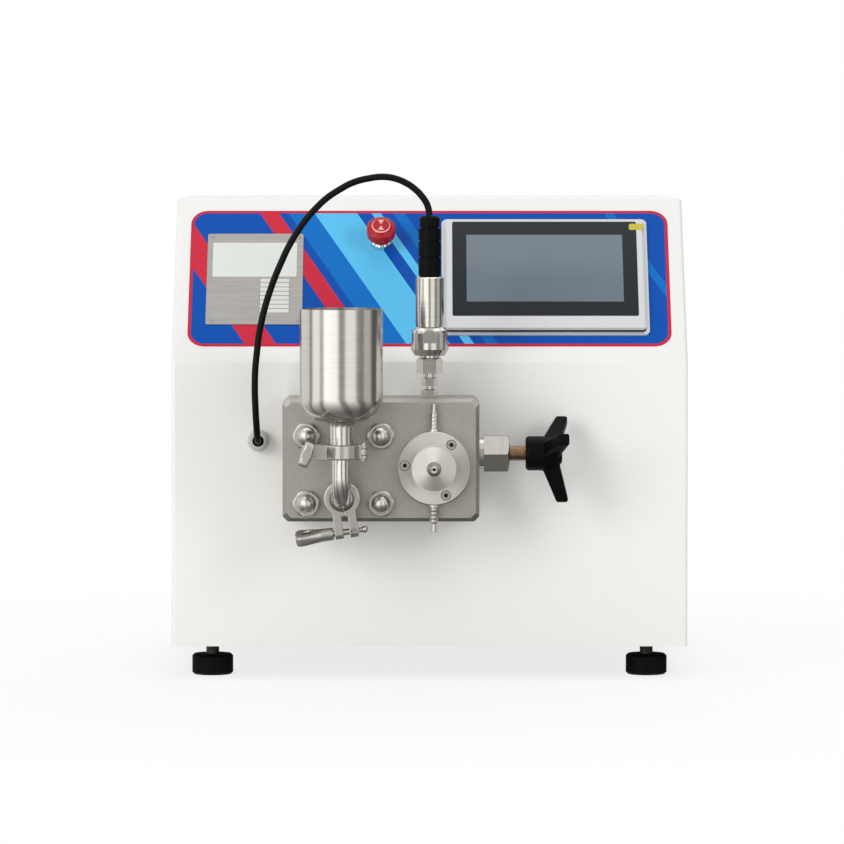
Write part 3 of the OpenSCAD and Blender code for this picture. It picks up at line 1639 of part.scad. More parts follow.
// The rocker turns about an axis that runs up, so its room is round about that axis
module rocker_space(r, height) {
  rotate([90, 0, 0]) cylinder(h = height, r = r, center = true);
}

module mains_rocker() {
  flange_thick = 3;
  r = rocker_size.x / 2;
  crest = 2.5;
  color(black) on_rear(mains_x, mains_z) translate([0, rocker_at, flange_thick + rocker_pivot])
    rotate([0, -rocker_tilt, 0]) rotate([90, 0, 0]) linear_extrude(rocker_size.y, center = true)
      intersection() {
        circle(r);
        polygon([[-r, -r / 2], [r, -r / 2], [r, crest + r * tan(rocker_tilt)],
          [0, crest], [-r, crest + r * tan(rocker_tilt)]]);
      }
}

housing_shell();
base_plate();
rear_panel();
foot_front_left();
foot_front_right();
foot_rear_left();
foot_rear_right();
panel_overlay();
nameplate();
hmi_case();
hmi_glass();
motor_drive();
estop_collar();
estop_barrel();
estop_stem();
estop_cap();
pump_block();
pump_studs();
dome_nuts();
cooling_jacket();
outlet_nozzle();
jacket_screws();
coolant_barbs();
valve_bonnet();
valve_stem();
handle_knob();
valve_push_rod();
valve_seat();
valve_seal();
gauge_fitting();
gauge_nut();
transducer_body();
connector_plug();
sensor_cable();
cable_gland();
hopper();
inlet_elbow();
inlet_ferrule();
clamp_gaskets();
upper_jaw_front();
upper_jaw_rear();
upper_swing_bolt();
upper_wing_nut();
lower_jaw_left();
lower_jaw_right();
lower_swing_bolt();
lower_wing_nut();
clamp_pins();
drive_frame();
drive_motor();
motor_pulley();
drive_belt();
ball_screw();
screw_bearing();
carriage();
plunger();
plunger_seal();
check_valves();
power_inlet();
mains_rocker();
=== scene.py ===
# %% [markdown]
# # Dressing a benchtop dairy homogenizer
# The solids come from CAD: a white cabinet on four levelling feet, a sloped control panel, and a
# stainless pump head with a hopper, a hinged-clamp inlet, a pressure transducer and a hand valve.
# This lesson loads those solids as a fixed frame and gives every one the finish of the real thing.
# Where the real piece has more form than a solid holds (a thread, a moulded edge, a printed mark),
# a new piece is modelled with Blender's own operators.
# Everything is in metres, +Z is up and the machine faces -Y.

# %% Load the CAD frame
import json
import math
import bpy
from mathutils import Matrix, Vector


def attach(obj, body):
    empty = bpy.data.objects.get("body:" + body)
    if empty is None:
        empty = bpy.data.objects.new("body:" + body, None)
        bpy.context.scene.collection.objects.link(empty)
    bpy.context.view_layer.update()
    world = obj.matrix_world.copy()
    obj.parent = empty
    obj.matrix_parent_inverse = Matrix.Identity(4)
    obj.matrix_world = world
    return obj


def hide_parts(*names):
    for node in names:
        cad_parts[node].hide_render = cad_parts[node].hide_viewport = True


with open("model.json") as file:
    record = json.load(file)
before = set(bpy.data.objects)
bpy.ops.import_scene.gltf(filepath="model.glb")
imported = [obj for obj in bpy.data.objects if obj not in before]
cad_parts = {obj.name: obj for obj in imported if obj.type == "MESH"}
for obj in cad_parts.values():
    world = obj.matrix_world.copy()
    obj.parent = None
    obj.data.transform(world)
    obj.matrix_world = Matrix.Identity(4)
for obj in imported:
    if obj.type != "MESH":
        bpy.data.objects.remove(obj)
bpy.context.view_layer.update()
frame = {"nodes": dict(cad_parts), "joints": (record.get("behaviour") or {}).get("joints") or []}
nodes = frame["nodes"]
MM = 0.001
FRONT_Y = -147.975 * MM

# %% [markdown]
# ## Camera
# The photograph was taken from the front, a little above the panel, with a long lens: the cabinet's
# upright edges stay parallel. A 220 mm lens on a 36 mm sensor, five metres away and tipped down by
# three degrees, gives the same framing with no shift. It comes first because every later choice
# is judged through it.

# %% Camera at the photograph's viewing angle
CAMERA_DISTANCE = 5.0
CAMERA_X, CAMERA_HEIGHT = -0.0073, 0.5115
CAMERA_TILT_DOWN = math.radians(3.008)
LENS_MM, SENSOR_MM = 220.78, 36
bpy.ops.object.select_all(action="DESELECT")
bpy.ops.object.camera_add(
    location=(CAMERA_X, FRONT_Y - CAMERA_DISTANCE, CAMERA_HEIGHT),
    rotation=(math.radians(90) - CAMERA_TILT_DOWN, 0, 0),
)
camera = bpy.context.object
camera.name = "front_camera"
camera.data.sensor_width = SENSOR_MM
camera.data.lens = LENS_MM
camera.data.clip_end = 60
bpy.context.scene.camera = camera
bpy.context.scene.view_settings.view_transform = "Standard"
print("camera at", [round(v, 3) for v in camera.location])

# %% [markdown]
# ## Colours and nodes
# Screen colours are written as sRGB hex codes, but shaders work in linear light, so one function
# turns one into the other. A second small function adds a shader node with its settings and links.
# A third gives Object coordinates in millimetres, counted from a piece's own centre and turned with
# it. With that, the scale of a pattern is simply one over its real size in millimetres.

# %% Helpers for materials
def linear(hex_code):
    """An sRGB hex colour as the linear colour that a shader socket takes."""
    parts = [int(hex_code[i:i + 2], 16) / 255 for i in (1, 3, 5)]
    return [p / 12.92 if p <= 0.04045 else ((p + 0.055) / 1.055) ** 2.4 for p in parts] + [1.0]


def add(tree, kind, inputs=None, **settings):
    """Adds one shader node. inputs maps a socket to a value, or to the output that feeds it."""
    made = tree.nodes.new("ShaderNode" + kind)
    for option, value in settings.items():
        setattr(made, option, value)
    for socket, value in (inputs or {}).items():
        if isinstance(value, bpy.types.NodeSocket):
            tree.links.new(value, made.inputs[socket])
        else:
            made.inputs[socket].default_value = value
    return made


def local_mm(tree, centre=(0, 0, 0), turn=(0, 0, 0)):
    """Object coordinates in millimetres, from a piece's own centre and turned with it."""
    place = add(tree, "TexCoord").outputs["Object"]
    return add(tree, "Mapping", {"Vector": place, "Location": centre, "Rotation": turn,
                                 "Scale": (MM, MM, MM)}, vector_type="TEXTURE").outputs[0]


def start_material(name, colour, metallic=0.0, roughness=0.5):
    """A new material with its Principled shader, set to the plain values of that finish."""
    material = bpy.data.materials.new(name)
    material.use_nodes = True
    shader = material.node_tree.nodes["Principled BSDF"]
    shader.inputs["Base Color"].default_value = linear(colour)
    shader.inputs["Metallic"].default_value = metallic
    shader.inputs["Roughness"].default_value = roughness
    return material, material.node_tree, shader


def shade_between(tree, value, low, high):
    """A ramp from one hex colour to another, driven by a value from 0 to 1."""
    ramp = add(tree, "ValToRGB", {"Fac": value})
    ramp.color_ramp.elements[0].color = linear(low)
    ramp.color_ramp.elements[1].color = linear(high)
    ramp.color_ramp.elements[0].position = 0.3
    ramp.color_ramp.elements[1].position = 0.7
    return ramp.outputs["Color"]


def grained(name, low, high, metallic, rough, cell, stretch=(1, 1, 1), bump_mm=0.0, specular=0.5):
    """A finish with one random grain. cell is the grain's size in mm, stretch draws it out along an
    axis as brushing does, rough is the span of the roughness, bump_mm the grain's height and
    specular the strength of a plastic's surface gloss."""
    material, tree, shader = start_material(name, high, metallic, rough[1])
    shader.inputs["Specular IOR Level"].default_value = specular
    place = add(tree, "VectorMath", {0: local_mm(tree), 1: [1 / s for s in stretch]},
                operation="MULTIPLY").outputs[0]
    grain = add(tree, "TexNoise", {"Vector": place, "Scale": 1 / cell, "Detail": 3.0,
                                   "Roughness": 0.6}).outputs["Fac"]
    tree.links.new(shade_between(tree, grain, low, high), shader.inputs["Base Color"])
    span = add(tree, "MapRange", {"Value": grain, "From Min": 0.3, "From Max": 0.7,
                                  "To Min": rough[0], "To Max": rough[1]})
    tree.links.new(span.outputs[0], shader.inputs["Roughness"])
    if bump_mm:
        bump = add(tree, "Bump", {"Height": grain, "Distance": bump_mm * MM, "Strength": 1.0})
        tree.links.new(bump.outputs[0], shader.inputs["Normal"])
    return material


def dress(material, *names):
    """Gives CAD nodes one finish all over."""
    for name in names:
        nodes[name].data.materials.clear()
        nodes[name].data.materials.append(material)
    print(material.name, "on", len(names), "nodes")

# %% [markdown]
# ## The sensor cable
# A 6 mm screened signal cable leaves a gland in the cabinet's front, stands up in a tall free arch
# and comes down into the plug on top of the transducer. Its line is a fixed length of something
# springy, so it is one Bezier spline through the route's points with automatic handles, thickened
# by the curve's own bevel. The photograph shows it from end to end, so that is its whole length.

# %% Sensor cable
CABLE_DIAMETER = 6.4 * MM
# x, distance in front of the panel, and height, in mm
CABLE_ROUTE = [
    (-165.5, 9, 231), (-165.5, 16, 231), (-165.5, 24, 232), (-165.7, 33, 237), (-166, 39.5, 245),
    (-166.6, 43, 256), (-167.2, 45, 270), (-167.5, 46, 286), (-167, 46.5, 302), (-165.5, 47, 317),
    (-163.8, 47, 332), (-161, 47.5, 347), (-157.5, 48, 361.5), (-153, 48, 376), (-148, 48, 390),
    (-142, 48.5, 404), (-135.5, 48.5, 418), (-128, 49, 431), (-119.5, 49, 443.5), (-110, 49, 454.5),
    (-99, 49, 465), (-86.5, 49, 473.5), (-73, 49.5, 480.5), (-58.5, 49.5, 484.4), (-43.5, 50, 485.9),
    (-32, 50, 484), (-22.5, 50, 480), (-15, 50, 475), (-7.5, 50, 467.5), (-2, 50, 458.5), (0, 50, 448.7),
]
route = [(x * MM, FRONT_Y - out * MM, z * MM) for x, out, z in CABLE_ROUTE]
cable_line = bpy.data.curves.new("sensor_cable_sheath", "CURVE")
cable_line.dimensions = "3D"
cable_line.bevel_depth = CABLE_DIAMETER / 2
cable_line.bevel_resolution = 6
cable_line.resolution_u = 8
cable_line.use_fill_caps = True
spline = cable_line.splines.new("BEZIER")
spline.bezier_points.add(len(route) - 1)
for knot, place in zip(spline.bezier_points, route):
    knot.co = place
    knot.handle_left_type = knot.handle_right_type = "AUTO"
cable = bpy.data.objects.new("sensor_cable_sheath", cable_line)
bpy.context.scene.collection.objects.link(cable)
bpy.context.view_layer.update()

# PVC sheath, extruded: black, with the dull sheen of a slightly worn matt plastic
cable_sheath = grained("extruded_pvc_sheath", "#070808", "#0C0D0D", 0, (0.38, 0.5), 1.5, bump_mm=0.01,
                       specular=0.1)
cable_line.materials.append(cable_sheath)
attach(cable, "cabinet")
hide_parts("sensor_cable")

# %% [markdown]
# ## Studio
# The catalogue picture is a white sweep with large soft lamps. The world is white where the camera
# or a reflection sees it, and dimmer as a light, so that white paint keeps its tone. The floor is a
# pale sheet: most of it glows plain white for the camera, the rest takes the lamps, so the
# machine's soft shadow still shows. The lamps come last.

# %% World and floor
world = bpy.data.worlds.new("studio")
bpy.context.scene.world = world
world.use_nodes = True
sky = world.node_tree
sky.nodes.clear()


def seen_directly(tree):
    """1 for camera rays, mirror rays and rays through glass; 0 for the rays that carry light."""
    path = add(tree, "LightPath")
    mirrored = add(tree, "Math", {0: path.outputs["Is Camera Ray"], 1: path.outputs["Is Glossy Ray"]},
                   operation="MAXIMUM")
    return add(tree, "Math", {0: mirrored.outputs[0], 1: path.outputs["Is Transmission Ray"]},
               operation="MAXIMUM").outputs[0]


AMBIENT_STRENGTH = 0.5
FLOOR_SIZE = 40
# distance from the machine in mm, and the share of the floor that glows there
GLOW_NEAR, GLOW_FAR = (350.0, 0.8), (1100.0, 1.0)
ambient = add(sky, "Background", {"Color": linear("#FBFCFF"), "Strength": AMBIENT_STRENGTH})
sweep = add(sky, "Background", {"Color": linear("#FFFFFF"), "Strength": 1.0})
either = add(sky, "MixShader", {0: seen_directly(sky), 1: ambient.outputs[0], 2: sweep.outputs[0]})
add(sky, "OutputWorld", {"Surface": either.outputs[0]})

bpy.ops.object.select_all(action="DESELECT")
bpy.ops.mesh.primitive_plane_add(size=FLOOR_SIZE)
floor = bpy.context.object
floor.name = "studio_floor"
sheet_paint, floor_tree, floor_shader = start_material("matt_white_sweep", "#F8F8F8", 0, 0.9)
floor_shader.inputs["Specular IOR Level"].default_value = 0.0
glow = add(floor_tree, "Emission", {"Color": linear("#FFFFFF"), "Strength": 1.0})
# the lamps fade with distance, so the sheet glows more the further it is from the machine
far_off = add(floor_tree, "VectorMath", {0: local_mm(floor_tree)}, operation="LENGTH").outputs["Value"]
share = add(floor_tree, "MapRange", {"Value": far_off, "From Min": GLOW_NEAR[0], "From Max": GLOW_FAR[0],
                                     "To Min": GLOW_NEAR[1], "To Max": GLOW_FAR[1]},
            interpolation_type="SMOOTHSTEP")
glow_share = add(floor_tree, "Math", {0: seen_directly(floor_tree), 1: share.outputs[0]},
                 operation="MULTIPLY")
floor_mix = add(floor_tree, "MixShader", {0: glow_share.outputs[0], 1: floor_shader.outputs[0],
                                          2: glow.outputs[0]})
floor_tree.links.new(floor_mix.outputs[0], floor_tree.nodes["Material Output"].inputs["Surface"])
floor.data.materials.append(sheet_paint)

# %% [markdown]
# Bright metal shows nothing but its surroundings, so the studio needs something to mirror. A low
# ring of cards stands round the machine, seen by reflections alone: white where the photograph's
# hopper shows a bright band, dark where it shows a dark one. A reflection on an upright cylinder
# turns twice as fast as its surface, so each band's place on the hopper gives its card's direction.
# The ring keeps the cylinder's lower lid, and the bands fade the more steeply they are looked down
# on from the pump head: the floor under a machine lies in its shade.

# %% Ring of cards for the metal to mirror
CARD_RING_RADIUS = 2.8
CARD_RING_HEIGHT = 2.2
CARD_FLOOR = 2 * MM
PUMP_HEIGHT = 0.3
# how steeply a card is looked down on, in radians, where its bands begin to fade and where they are
# faint, and what they fade to
FADE_START, FADE_END = 0.06, 0.95
FAINT_TONE, FAINT_SHARE = "#74726E", 0.75
CARD_STRENGTH, FAINT_STRENGTH = 1.7, 0.62
# direction in degrees from the front, growing to the right and on round the back, and the tone there
CARDS = [
    (-90, "#606060"), (-86, "#606060"), (-82, "#E2E2E0"), (-60, "#E2E2E0"), (-58, "#7A7A78"),
    (-49, "#7A7A78"), (-47, "#F9F9F7"), (-11, "#F9F9F7"), (-6, "#80807E"), (7, "#80807E"),
    (10, "#E2E2E0"), (36, "#DADAD8"), (42, "#646462"), (61, "#646462"), (63, "#A8A8A6"),
    (84, "#A8A8A6"), (92, "#4A4A48"), (120, "#4A4A48"), (130, "#80807E"), (200, "#A0A09E"),
    (226, "#C7C7C5"), (265, "#C7C7C5"), (268, "#606060"), (270, "#606060"),
]
bpy.ops.object.select_all(action="DESELECT")
bpy.ops.mesh.primitive_cylinder_add(vertices=96, radius=CARD_RING_RADIUS, depth=CARD_RING_HEIGHT,
                                    location=(0, FRONT_Y, CARD_RING_HEIGHT / 2 + CARD_FLOOR))
card_ring = bpy.context.object
card_ring.name = "studio_cards"
bpy.ops.object.mode_set(mode="EDIT")
bpy.ops.mesh.select_all(action="DESELECT")
bpy.ops.object.mode_set(mode="OBJECT")
for face in card_ring.data.polygons:
    face.select = face.normal.z > 0.9
bpy.ops.object.mode_set(mode="EDIT")
bpy.ops.mesh.delete(type="FACE")
bpy.ops.object.mode_set(mode="OBJECT")
card_paint, tree, shader = start_material("reflector_cards", "#808080", 0, 0.9)
place = add(tree, "TexCoord").outputs["Object"]
around = add(tree, "TexGradient", {"Vector": place}, gradient_type="RADIAL")
tones = add(tree, "ValToRGB", {"Fac": around.outputs["Fac"]})
stops = tones.color_ramp.elements
while len(stops) < len(CARDS):
    stops.new(0.5)
for stop, (degrees, tone) in zip(stops, CARDS):
    stop.position = 0.25 + degrees / 360
    stop.color = linear(tone)
height = add(tree, "SeparateXYZ", {0: place}).outputs["Z"]
ring_middle = CARD_FLOOR + CARD_RING_HEIGHT / 2
drop = add(tree, "Math", {0: PUMP_HEIGHT - ring_middle, 1: height}, operation="SUBTRACT")
level = add(tree, "VectorMath", {0: place, 1: (1, 1, 0)}, operation="MULTIPLY")
distance = add(tree, "VectorMath", {0: level.outputs[0]}, operation="LENGTH").outputs["Value"]
steep = add(tree, "Math", {0: drop.outputs[0], 1: distance}, operation="ARCTAN2").outputs[0]


def fading(at_start, at_end):
    """A value that changes smoothly as the cards are looked down on more steeply."""
    return add(tree, "MapRange", {"Value": steep, "From Min": FADE_START, "From Max": FADE_END,
                                  "To Min": at_start, "To Max": at_end},
               interpolation_type="SMOOTHSTEP").outputs[0]


banded = add(tree, "Mix", {"Factor": fading(0.0, FAINT_SHARE)}, data_type="RGBA")
tree.links.new(tones.outputs["Color"], banded.inputs[6])
banded.inputs[7].default_value = linear(FAINT_TONE)
card_glow = add(tree, "Emission", {"Color": banded.outputs[2],
                                   "Strength": fading(CARD_STRENGTH, FAINT_STRENGTH)})
tree.links.new(card_glow.outputs[0], tree.nodes["Material Output"].inputs["Surface"])
card_ring.data.materials.append(card_paint)
card_ring.visible_camera = card_ring.visible_diffuse = card_ring.visible_shadow = False
card_ring.visible_transmission = False

# %% Soft lamps
LAMPS = {
    # name: place, watts, width and height of the softbox in metres
    "left_softbox": ((-3.4, -3.4, 1.8), 98, (1.8, 2.8)),
    "right_softbox": ((3.6, -3.6, 1.9), 60, (1.2, 2.2)),
    "top_softbox": ((0.0, 0.6, 4.0), 28, (3.6, 2.6)),
    "rear_softbox": ((0.6, 3.6, 2.6), 50, (2.4, 1.8)),
}
for lamp_name, (place, watts, size) in LAMPS.items():
    bpy.ops.object.light_add(type="AREA", location=place)
    lamp = bpy.context.object
    lamp.name = lamp_name
    lamp.data.energy = watts
    lamp.data.shape = "RECTANGLE"
    lamp.data.size, lamp.data.size_y = size
    aim = lamp.location.copy()
    aim.z -= 0.25
    lamp.rotation_euler = aim.to_track_quat("Z", "Y").to_euler()
    print(lamp_name, watts, "W")

# %% [markdown]
# ## Painted cabinet
# The housing is folded and welded mild steel, powder coated in a warm off-white. Melted powder
# levels out into a faint orange-peel skin: no visible colour change, only a soft, slightly uneven
# sheen. One grain of about two millimetres drives a small change of tone, gloss and height.

# %% Powder coat
powder_coat = grained("powder_coat_off_white", "#EDECE8", "#F1F0EC", 0, (0.36, 0.46), 2.0, bump_mm=0.02)
dress(powder_coat, "housing_shell", "rear_panel")

# Zinc-plated sheet: bluish grey, with the soft cloudy spangle of plating, about 6 mm across
zinc_sheet = grained("zinc_plated_sheet", "#9FA3A6", "#BBBFC1", 1, (0.3, 0.45), 6.0)
dress(zinc_sheet, "base_plate")

# %% [markdown]
# ## Stainless steel, many ways
# All the bright parts are stainless steel, and what tells them apart is how each was finished.
# The pump block is ground and bead blasted, so it is matt and even. The hopper and the sensor are
# turned and brushed round, so their highlights run as upright bands. The elbow is polished and the
# dome nuts are satin. The clamps are investment cast and tumbled, with a fine skin. A metal's look
# comes from its colour, its roughness and the studio it mirrors, so the IOR stays at its default.

# %% Blasted, brushed, cast, polished and satin steel
blasted_steel = grained("bead_blasted_stainless", "#9B9891", "#ABA8A1", 1, (0.4, 0.5), 1.2, bump_mm=0.012)
# brushing marks run round the hopper: long across X and Y, fine (drawn 0.8 mm, really 0.1) in Z
brushed_round = grained("brushed_stainless", "#C6C3BC", "#CFCCC6", 1, (0.16, 0.22), 0.8, stretch=(60, 60, 1))
cast_steel = grained("investment_cast_stainless", "#B7B4AE", "#BFBCB6", 1, (0.27, 0.33), 1.4, bump_mm=0.003)
polished_steel = grained("polished_stainless", "#CAC7C1", "#D3D0CB", 1, (0.13, 0.19), 4.0)
satin_steel = grained("satin_stainless", "#C3C0BA", "#CCC9C4", 1, (0.25, 0.31), 3.0)
chrome = grained("chrome_plate", "#D5D5D6", "#DFE0E1", 1, (0.05, 0.1), 5.0)
machined_steel = grained("machined_stainless", "#B9B6B0", "#C6C3BD", 1, (0.26, 0.34), 1.5, stretch=(8, 8, 1))
# bar turned about X: its marks run round that axis, drawn 0.7 mm apart
turned_bar = grained("turned_bar_stainless", "#BEBBB5", "#C9C6C0", 1, (0.2, 0.26), 0.7, stretch=(1, 40, 40))

dress(blasted_steel, "pump_block")
dress(brushed_round, "hopper", "transducer_body", "gauge_fitting", "gauge_nut")
dress(cast_steel, "upper_jaw_front", "upper_jaw_rear", "lower_jaw_left", "lower_jaw_right",
      "upper_wing_nut", "lower_wing_nut", "upper_swing_bolt", "lower_swing_bolt")
dress(polished_steel, "inlet_elbow", "inlet_ferrule", "pump_studs", "clamp_pins", "coolant_barbs",
      "valve_push_rod", "plunger")
dress(satin_steel, "dome_nuts")
dress(turned_bar, "valve_bonnet")
dress(machined_steel, "drive_frame", "carriage",
      "ball_screw", "screw_bearing", "motor_pulley", "estop_stem")

# %% [markdown]
# ## Turned faces
# The round cooling jacket and the nozzle on it were faced on a lathe: a spiral of tool marks, and
# highlights that fan out from the centre. Rings round the jacket's own axis give the marks. They
# are drawn 1.1 mm apart, although the real feed is about 0.1 mm, so that they show in the render.

# %% Turned steel
JACKET_CENTRE = (4.2 * MM, FRONT_Y, 208.6 * MM)
MARK_SPACING = 1.08
WAVE_PERIOD = math.tau / 20  # a wave texture repeats after this length at a scale of 1
turned_steel, tree, shader = start_material("lathe_turned_stainless", "#C2BFB8", 1, 0.42)
# fine marks round an axis stretch a highlight across them: the shader's anisotropy, turned about Y
shader.inputs["Anisotropic"].default_value = 0.7
along_marks = add(tree, "Tangent", direction_type="RADIAL", axis="Y")
tree.links.new(along_marks.outputs[0], shader.inputs["Tangent"])
around = local_mm(tree, centre=JACKET_CENTRE)
marks = add(tree, "TexWave", {"Vector": around, "Scale": WAVE_PERIOD / MARK_SPACING, "Distortion": 0.6,
                              "Detail": 1.0, "Detail Scale": 2.0},
            wave_type="RINGS", rings_direction="Y").outputs["Fac"]
tree.links.new(shade_between(tree, marks, "#BAB7B0", "#C8C5BE"), shader.inputs["Base Color"])
bump = add(tree, "Bump", {"Height": marks, "Distance": 0.008 * MM, "Strength": 1.0})
tree.links.new(bump.outputs[0], shader.inputs["Normal"])
dress(turned_steel, "cooling_jacket", "outlet_nozzle")

# %% [markdown]
# The three screws sit in counterbores. The faces inside each counterbore, and inside each screw's
# own socket, carry a second, darker finish: painted shade, standing in for the shadow in the recesses.

# %% Painted shade in the recesses round the jacket's screws
SCREW_CIRCLE = 28 * MM
SCREW_ANGLES = [math.radians(54 + 120 * i) for i in range(3)]
SCREW_PLACES = [(JACKET_CENTRE[0] + SCREW_CIRCLE * math.cos(a),
                 JACKET_CENTRE[2] + SCREW_CIRCLE * math.sin(a)) for a in SCREW_ANGLES]
JACKET_FACE = FRONT_Y - 83 * MM
# painted shade: a dark steel finish for the faces down in the recesses
recess_shade_paint = grained("painted_recess_shade", "#2C2A27", "#3A3834", 1, (0.4, 0.5), 1.0)


def darken_recess(node_name, reach):
    """Gives the faces near a screw's axis, and behind the jacket's face, the darker finish of painted shade.
    """
    mesh = nodes[node_name].data
    mesh.materials.append(recess_shade_paint)
    for face in mesh.polygons:
        corners = [mesh.vertices[v].co for v in face.vertices]
        behind = max(c.y for c in corners) > JACKET_FACE + 0.2 * MM
        near = any(all(math.hypot(c.x - x, c.z - z) < reach for c in corners) for x, z in SCREW_PLACES)
        if behind and near:
            face.material_index = 1
    print(node_name, "dark faces:", sum(face.material_index for face in mesh.polygons))


dress(machined_steel, "jacket_screws")
darken_recess("cooling_jacket", 5.2 * MM)
darken_recess("jacket_screws", 2.6 * MM)

# %% [markdown]
# ## Bronze, seals and hard alloy
# The valve stem is bronze, so that it doesn't seize in the steel bonnet: a warm brown metal, darker
# where it has oxidised. Gaskets are white PTFE. The seat and the check valves are a hard cobalt
# alloy, ground to a dull shine; they sit inside, but they are dressed like the rest.

# %% Bronze and the inner parts
bronze = grained("oxidised_bronze", "#977A5F", "#B1967A", 1, (0.26, 0.36), 2.5)
dress(bronze, "valve_stem")
white_ptfe = grained("white_ptfe", "#E2E1DC", "#EEEDE9", 0, (0.4, 0.5), 2.0)
dress(white_ptfe, "clamp_gaskets", "plunger_seal", "valve_seal")
hard_alloy = grained("ground_cobalt_alloy", "#8E9094", "#A5A7AA", 1, (0.2, 0.3), 0.8)
dress(hard_alloy, "valve_seat", "check_valves")

# %% [markdown]
# ## Plastics and rubber
# Moulded parts take the texture of their mould: a spark-eroded grain under a millimetre on the
# handle knob and the plug, smoother on the emergency stop. Rubber is duller and a little greyer.

# %% Plastics, rubber and motor paint
black_plastic = grained("moulded_black_nylon", "#060707", "#0B0C0C", 0, (0.36, 0.46), 0.8, bump_mm=0.008,
                        specular=0.06)
dress(black_plastic, "handle_knob", "connector_plug", "estop_barrel")
# the mains inlet and its switch are a harder, glossier moulding
inlet_plastic = grained("moulded_black_polyester", "#1A1B1C", "#222324", 0, (0.28, 0.36), 0.8,
                        bump_mm=0.004, specular=0.4)
dress(inlet_plastic, "power_inlet", "mains_rocker")
dress(chrome, "estop_collar")
black_rubber = grained("moulded_black_rubber", "#0A0A0A", "#101010", 0, (0.5, 0.62), 1.2, bump_mm=0.01,
                       specular=0.08)
dress(black_rubber, "drive_belt")
grey_plastic = grained("moulded_grey_nylon", "#B9BAB6", "#C6C7C3", 0, (0.38, 0.48), 1.0, bump_mm=0.006)
dress(grey_plastic, "cable_gland", "motor_drive")
# the gland's mouth is lined by its black rubber seal
GLAND_AXIS = (-165.5 * MM, 231 * MM)
MOUTH_RADIUS = 5.7 * MM
gland_mesh = nodes["cable_gland"].data
gland_mesh.materials.append(black_rubber)
for face in gland_mesh.polygons:
    corners = [gland_mesh.vertices[v].co for v in face.vertices]
    reach = max(math.hypot(c.x - GLAND_AXIS[0], c.z - GLAND_AXIS[1]) for c in corners)
    if reach < MOUTH_RADIUS and all(c.y < FRONT_Y for c in corners):
        face.material_index = 1
motor_paint = grained("black_stove_enamel", "#1A1B1D", "#242527", 0, (0.25, 0.35), 1.5, bump_mm=0.01)
dress(motor_paint, "drive_motor")

# %% [markdown]
# A levelling foot is one solid in the CAD: a rubber pad moulded round a plated stem. Each face of
# that mesh can carry its own finish, so the faces above the pad's top get the plating.

# %% Feet: rubber pad, plated stem
PAD_TOP = 20 * MM
dull_plating = grained("dulled_zinc_plating", "#45463F", "#56574F", 1, (0.35, 0.5), 1.5)
for foot in ("foot_front_left", "foot_front_right", "foot_rear_left", "foot_rear_right"):
    dress(black_rubber, foot)
    mesh = nodes[foot].data
    mesh.materials.append(dull_plating)
    for face in mesh.polygons:
        lowest = min(mesh.vertices[v].co.z for v in face.vertices)
        face.material_index = int(lowest > PAD_TOP - 0.1 * MM and face.normal.z < 0.9)

# %% [markdown]
# ## The printed panel
# The slope carries a printed polyester film: a blue ground with a red outline and slanted stripes
# in lighter blues and red, a plain design of parallel bands. The film lies at 49 degrees from the
# floor, so its pattern is drawn in the slope's own coordinates: x across, y up the slope, in mm
# from the fold. The distance to a rounded rectangle's edge takes four vector steps and makes the
# outline; the stripes are a colour ramp with hard steps.

# %% Printed film
SLOPE_FOOT = (0, FRONT_Y, 307 * MM)
SLOPE_TURN = (math.radians(49), 0, 0)


def slope_mm(tree, x=0.0, along=0.0):
    """Coordinates on the slope in mm, counted from the point at x and along."""
    on_slope = local_mm(tree, centre=SLOPE_FOOT, turn=SLOPE_TURN)
    return add(tree, "VectorMath", {0: on_slope, 1: (x, along, 0)}, operation="SUBTRACT").outputs[0]


def outside_by(tree, point, half_width, half_height, corner):
    """How far a point lies outside a rounded rectangle in mm: below zero within it."""
    flat = add(tree, "VectorMath", {0: point, 1: (1, 1, 0)}, operation="MULTIPLY")
    folded = add(tree, "VectorMath", {0: flat.outputs[0]}, operation="ABSOLUTE")
    past = add(tree, "VectorMath", {0: folded.outputs[0],
                                    1: (half_width - corner, half_height - corner, 0)}, operation="SUBTRACT")
    kept = add(tree, "VectorMath", {0: past.outputs[0], 1: (0, 0, 0)}, operation="MAXIMUM")
    reach = add(tree, "VectorMath", {0: kept.outputs[0]}, operation="LENGTH")
    return add(tree, "Math", {0: reach.outputs["Value"], 1: corner}, operation="SUBTRACT").outputs[0]


def painted(tree, where, base, colour):
    """Lays a colour over another where a mask is 1."""
    mixed = add(tree, "Mix", {"Factor": where}, data_type="RGBA")
    for socket, value in ((6, base), (7, colour)):
        if isinstance(value, bpy.types.NodeSocket):
            tree.links.new(value, mixed.inputs[socket])
        else:
            mixed.inputs[socket].default_value = linear(value)
    return mixed.outputs[2]


def above(tree, value, limit):
    """1 where a value is over the limit."""
    return add(tree, "Math", {0: value, 1: limit}, operation="GREATER_THAN").outputs[0]


OVERLAY_HALF = (235.0, 86.0)
OVERLAY_MIDDLE = 105.0
OVERLAY_CORNER = 17.0
OUTLINE_WIDTH = 3.2
STRIPE_LEAN = 0.55
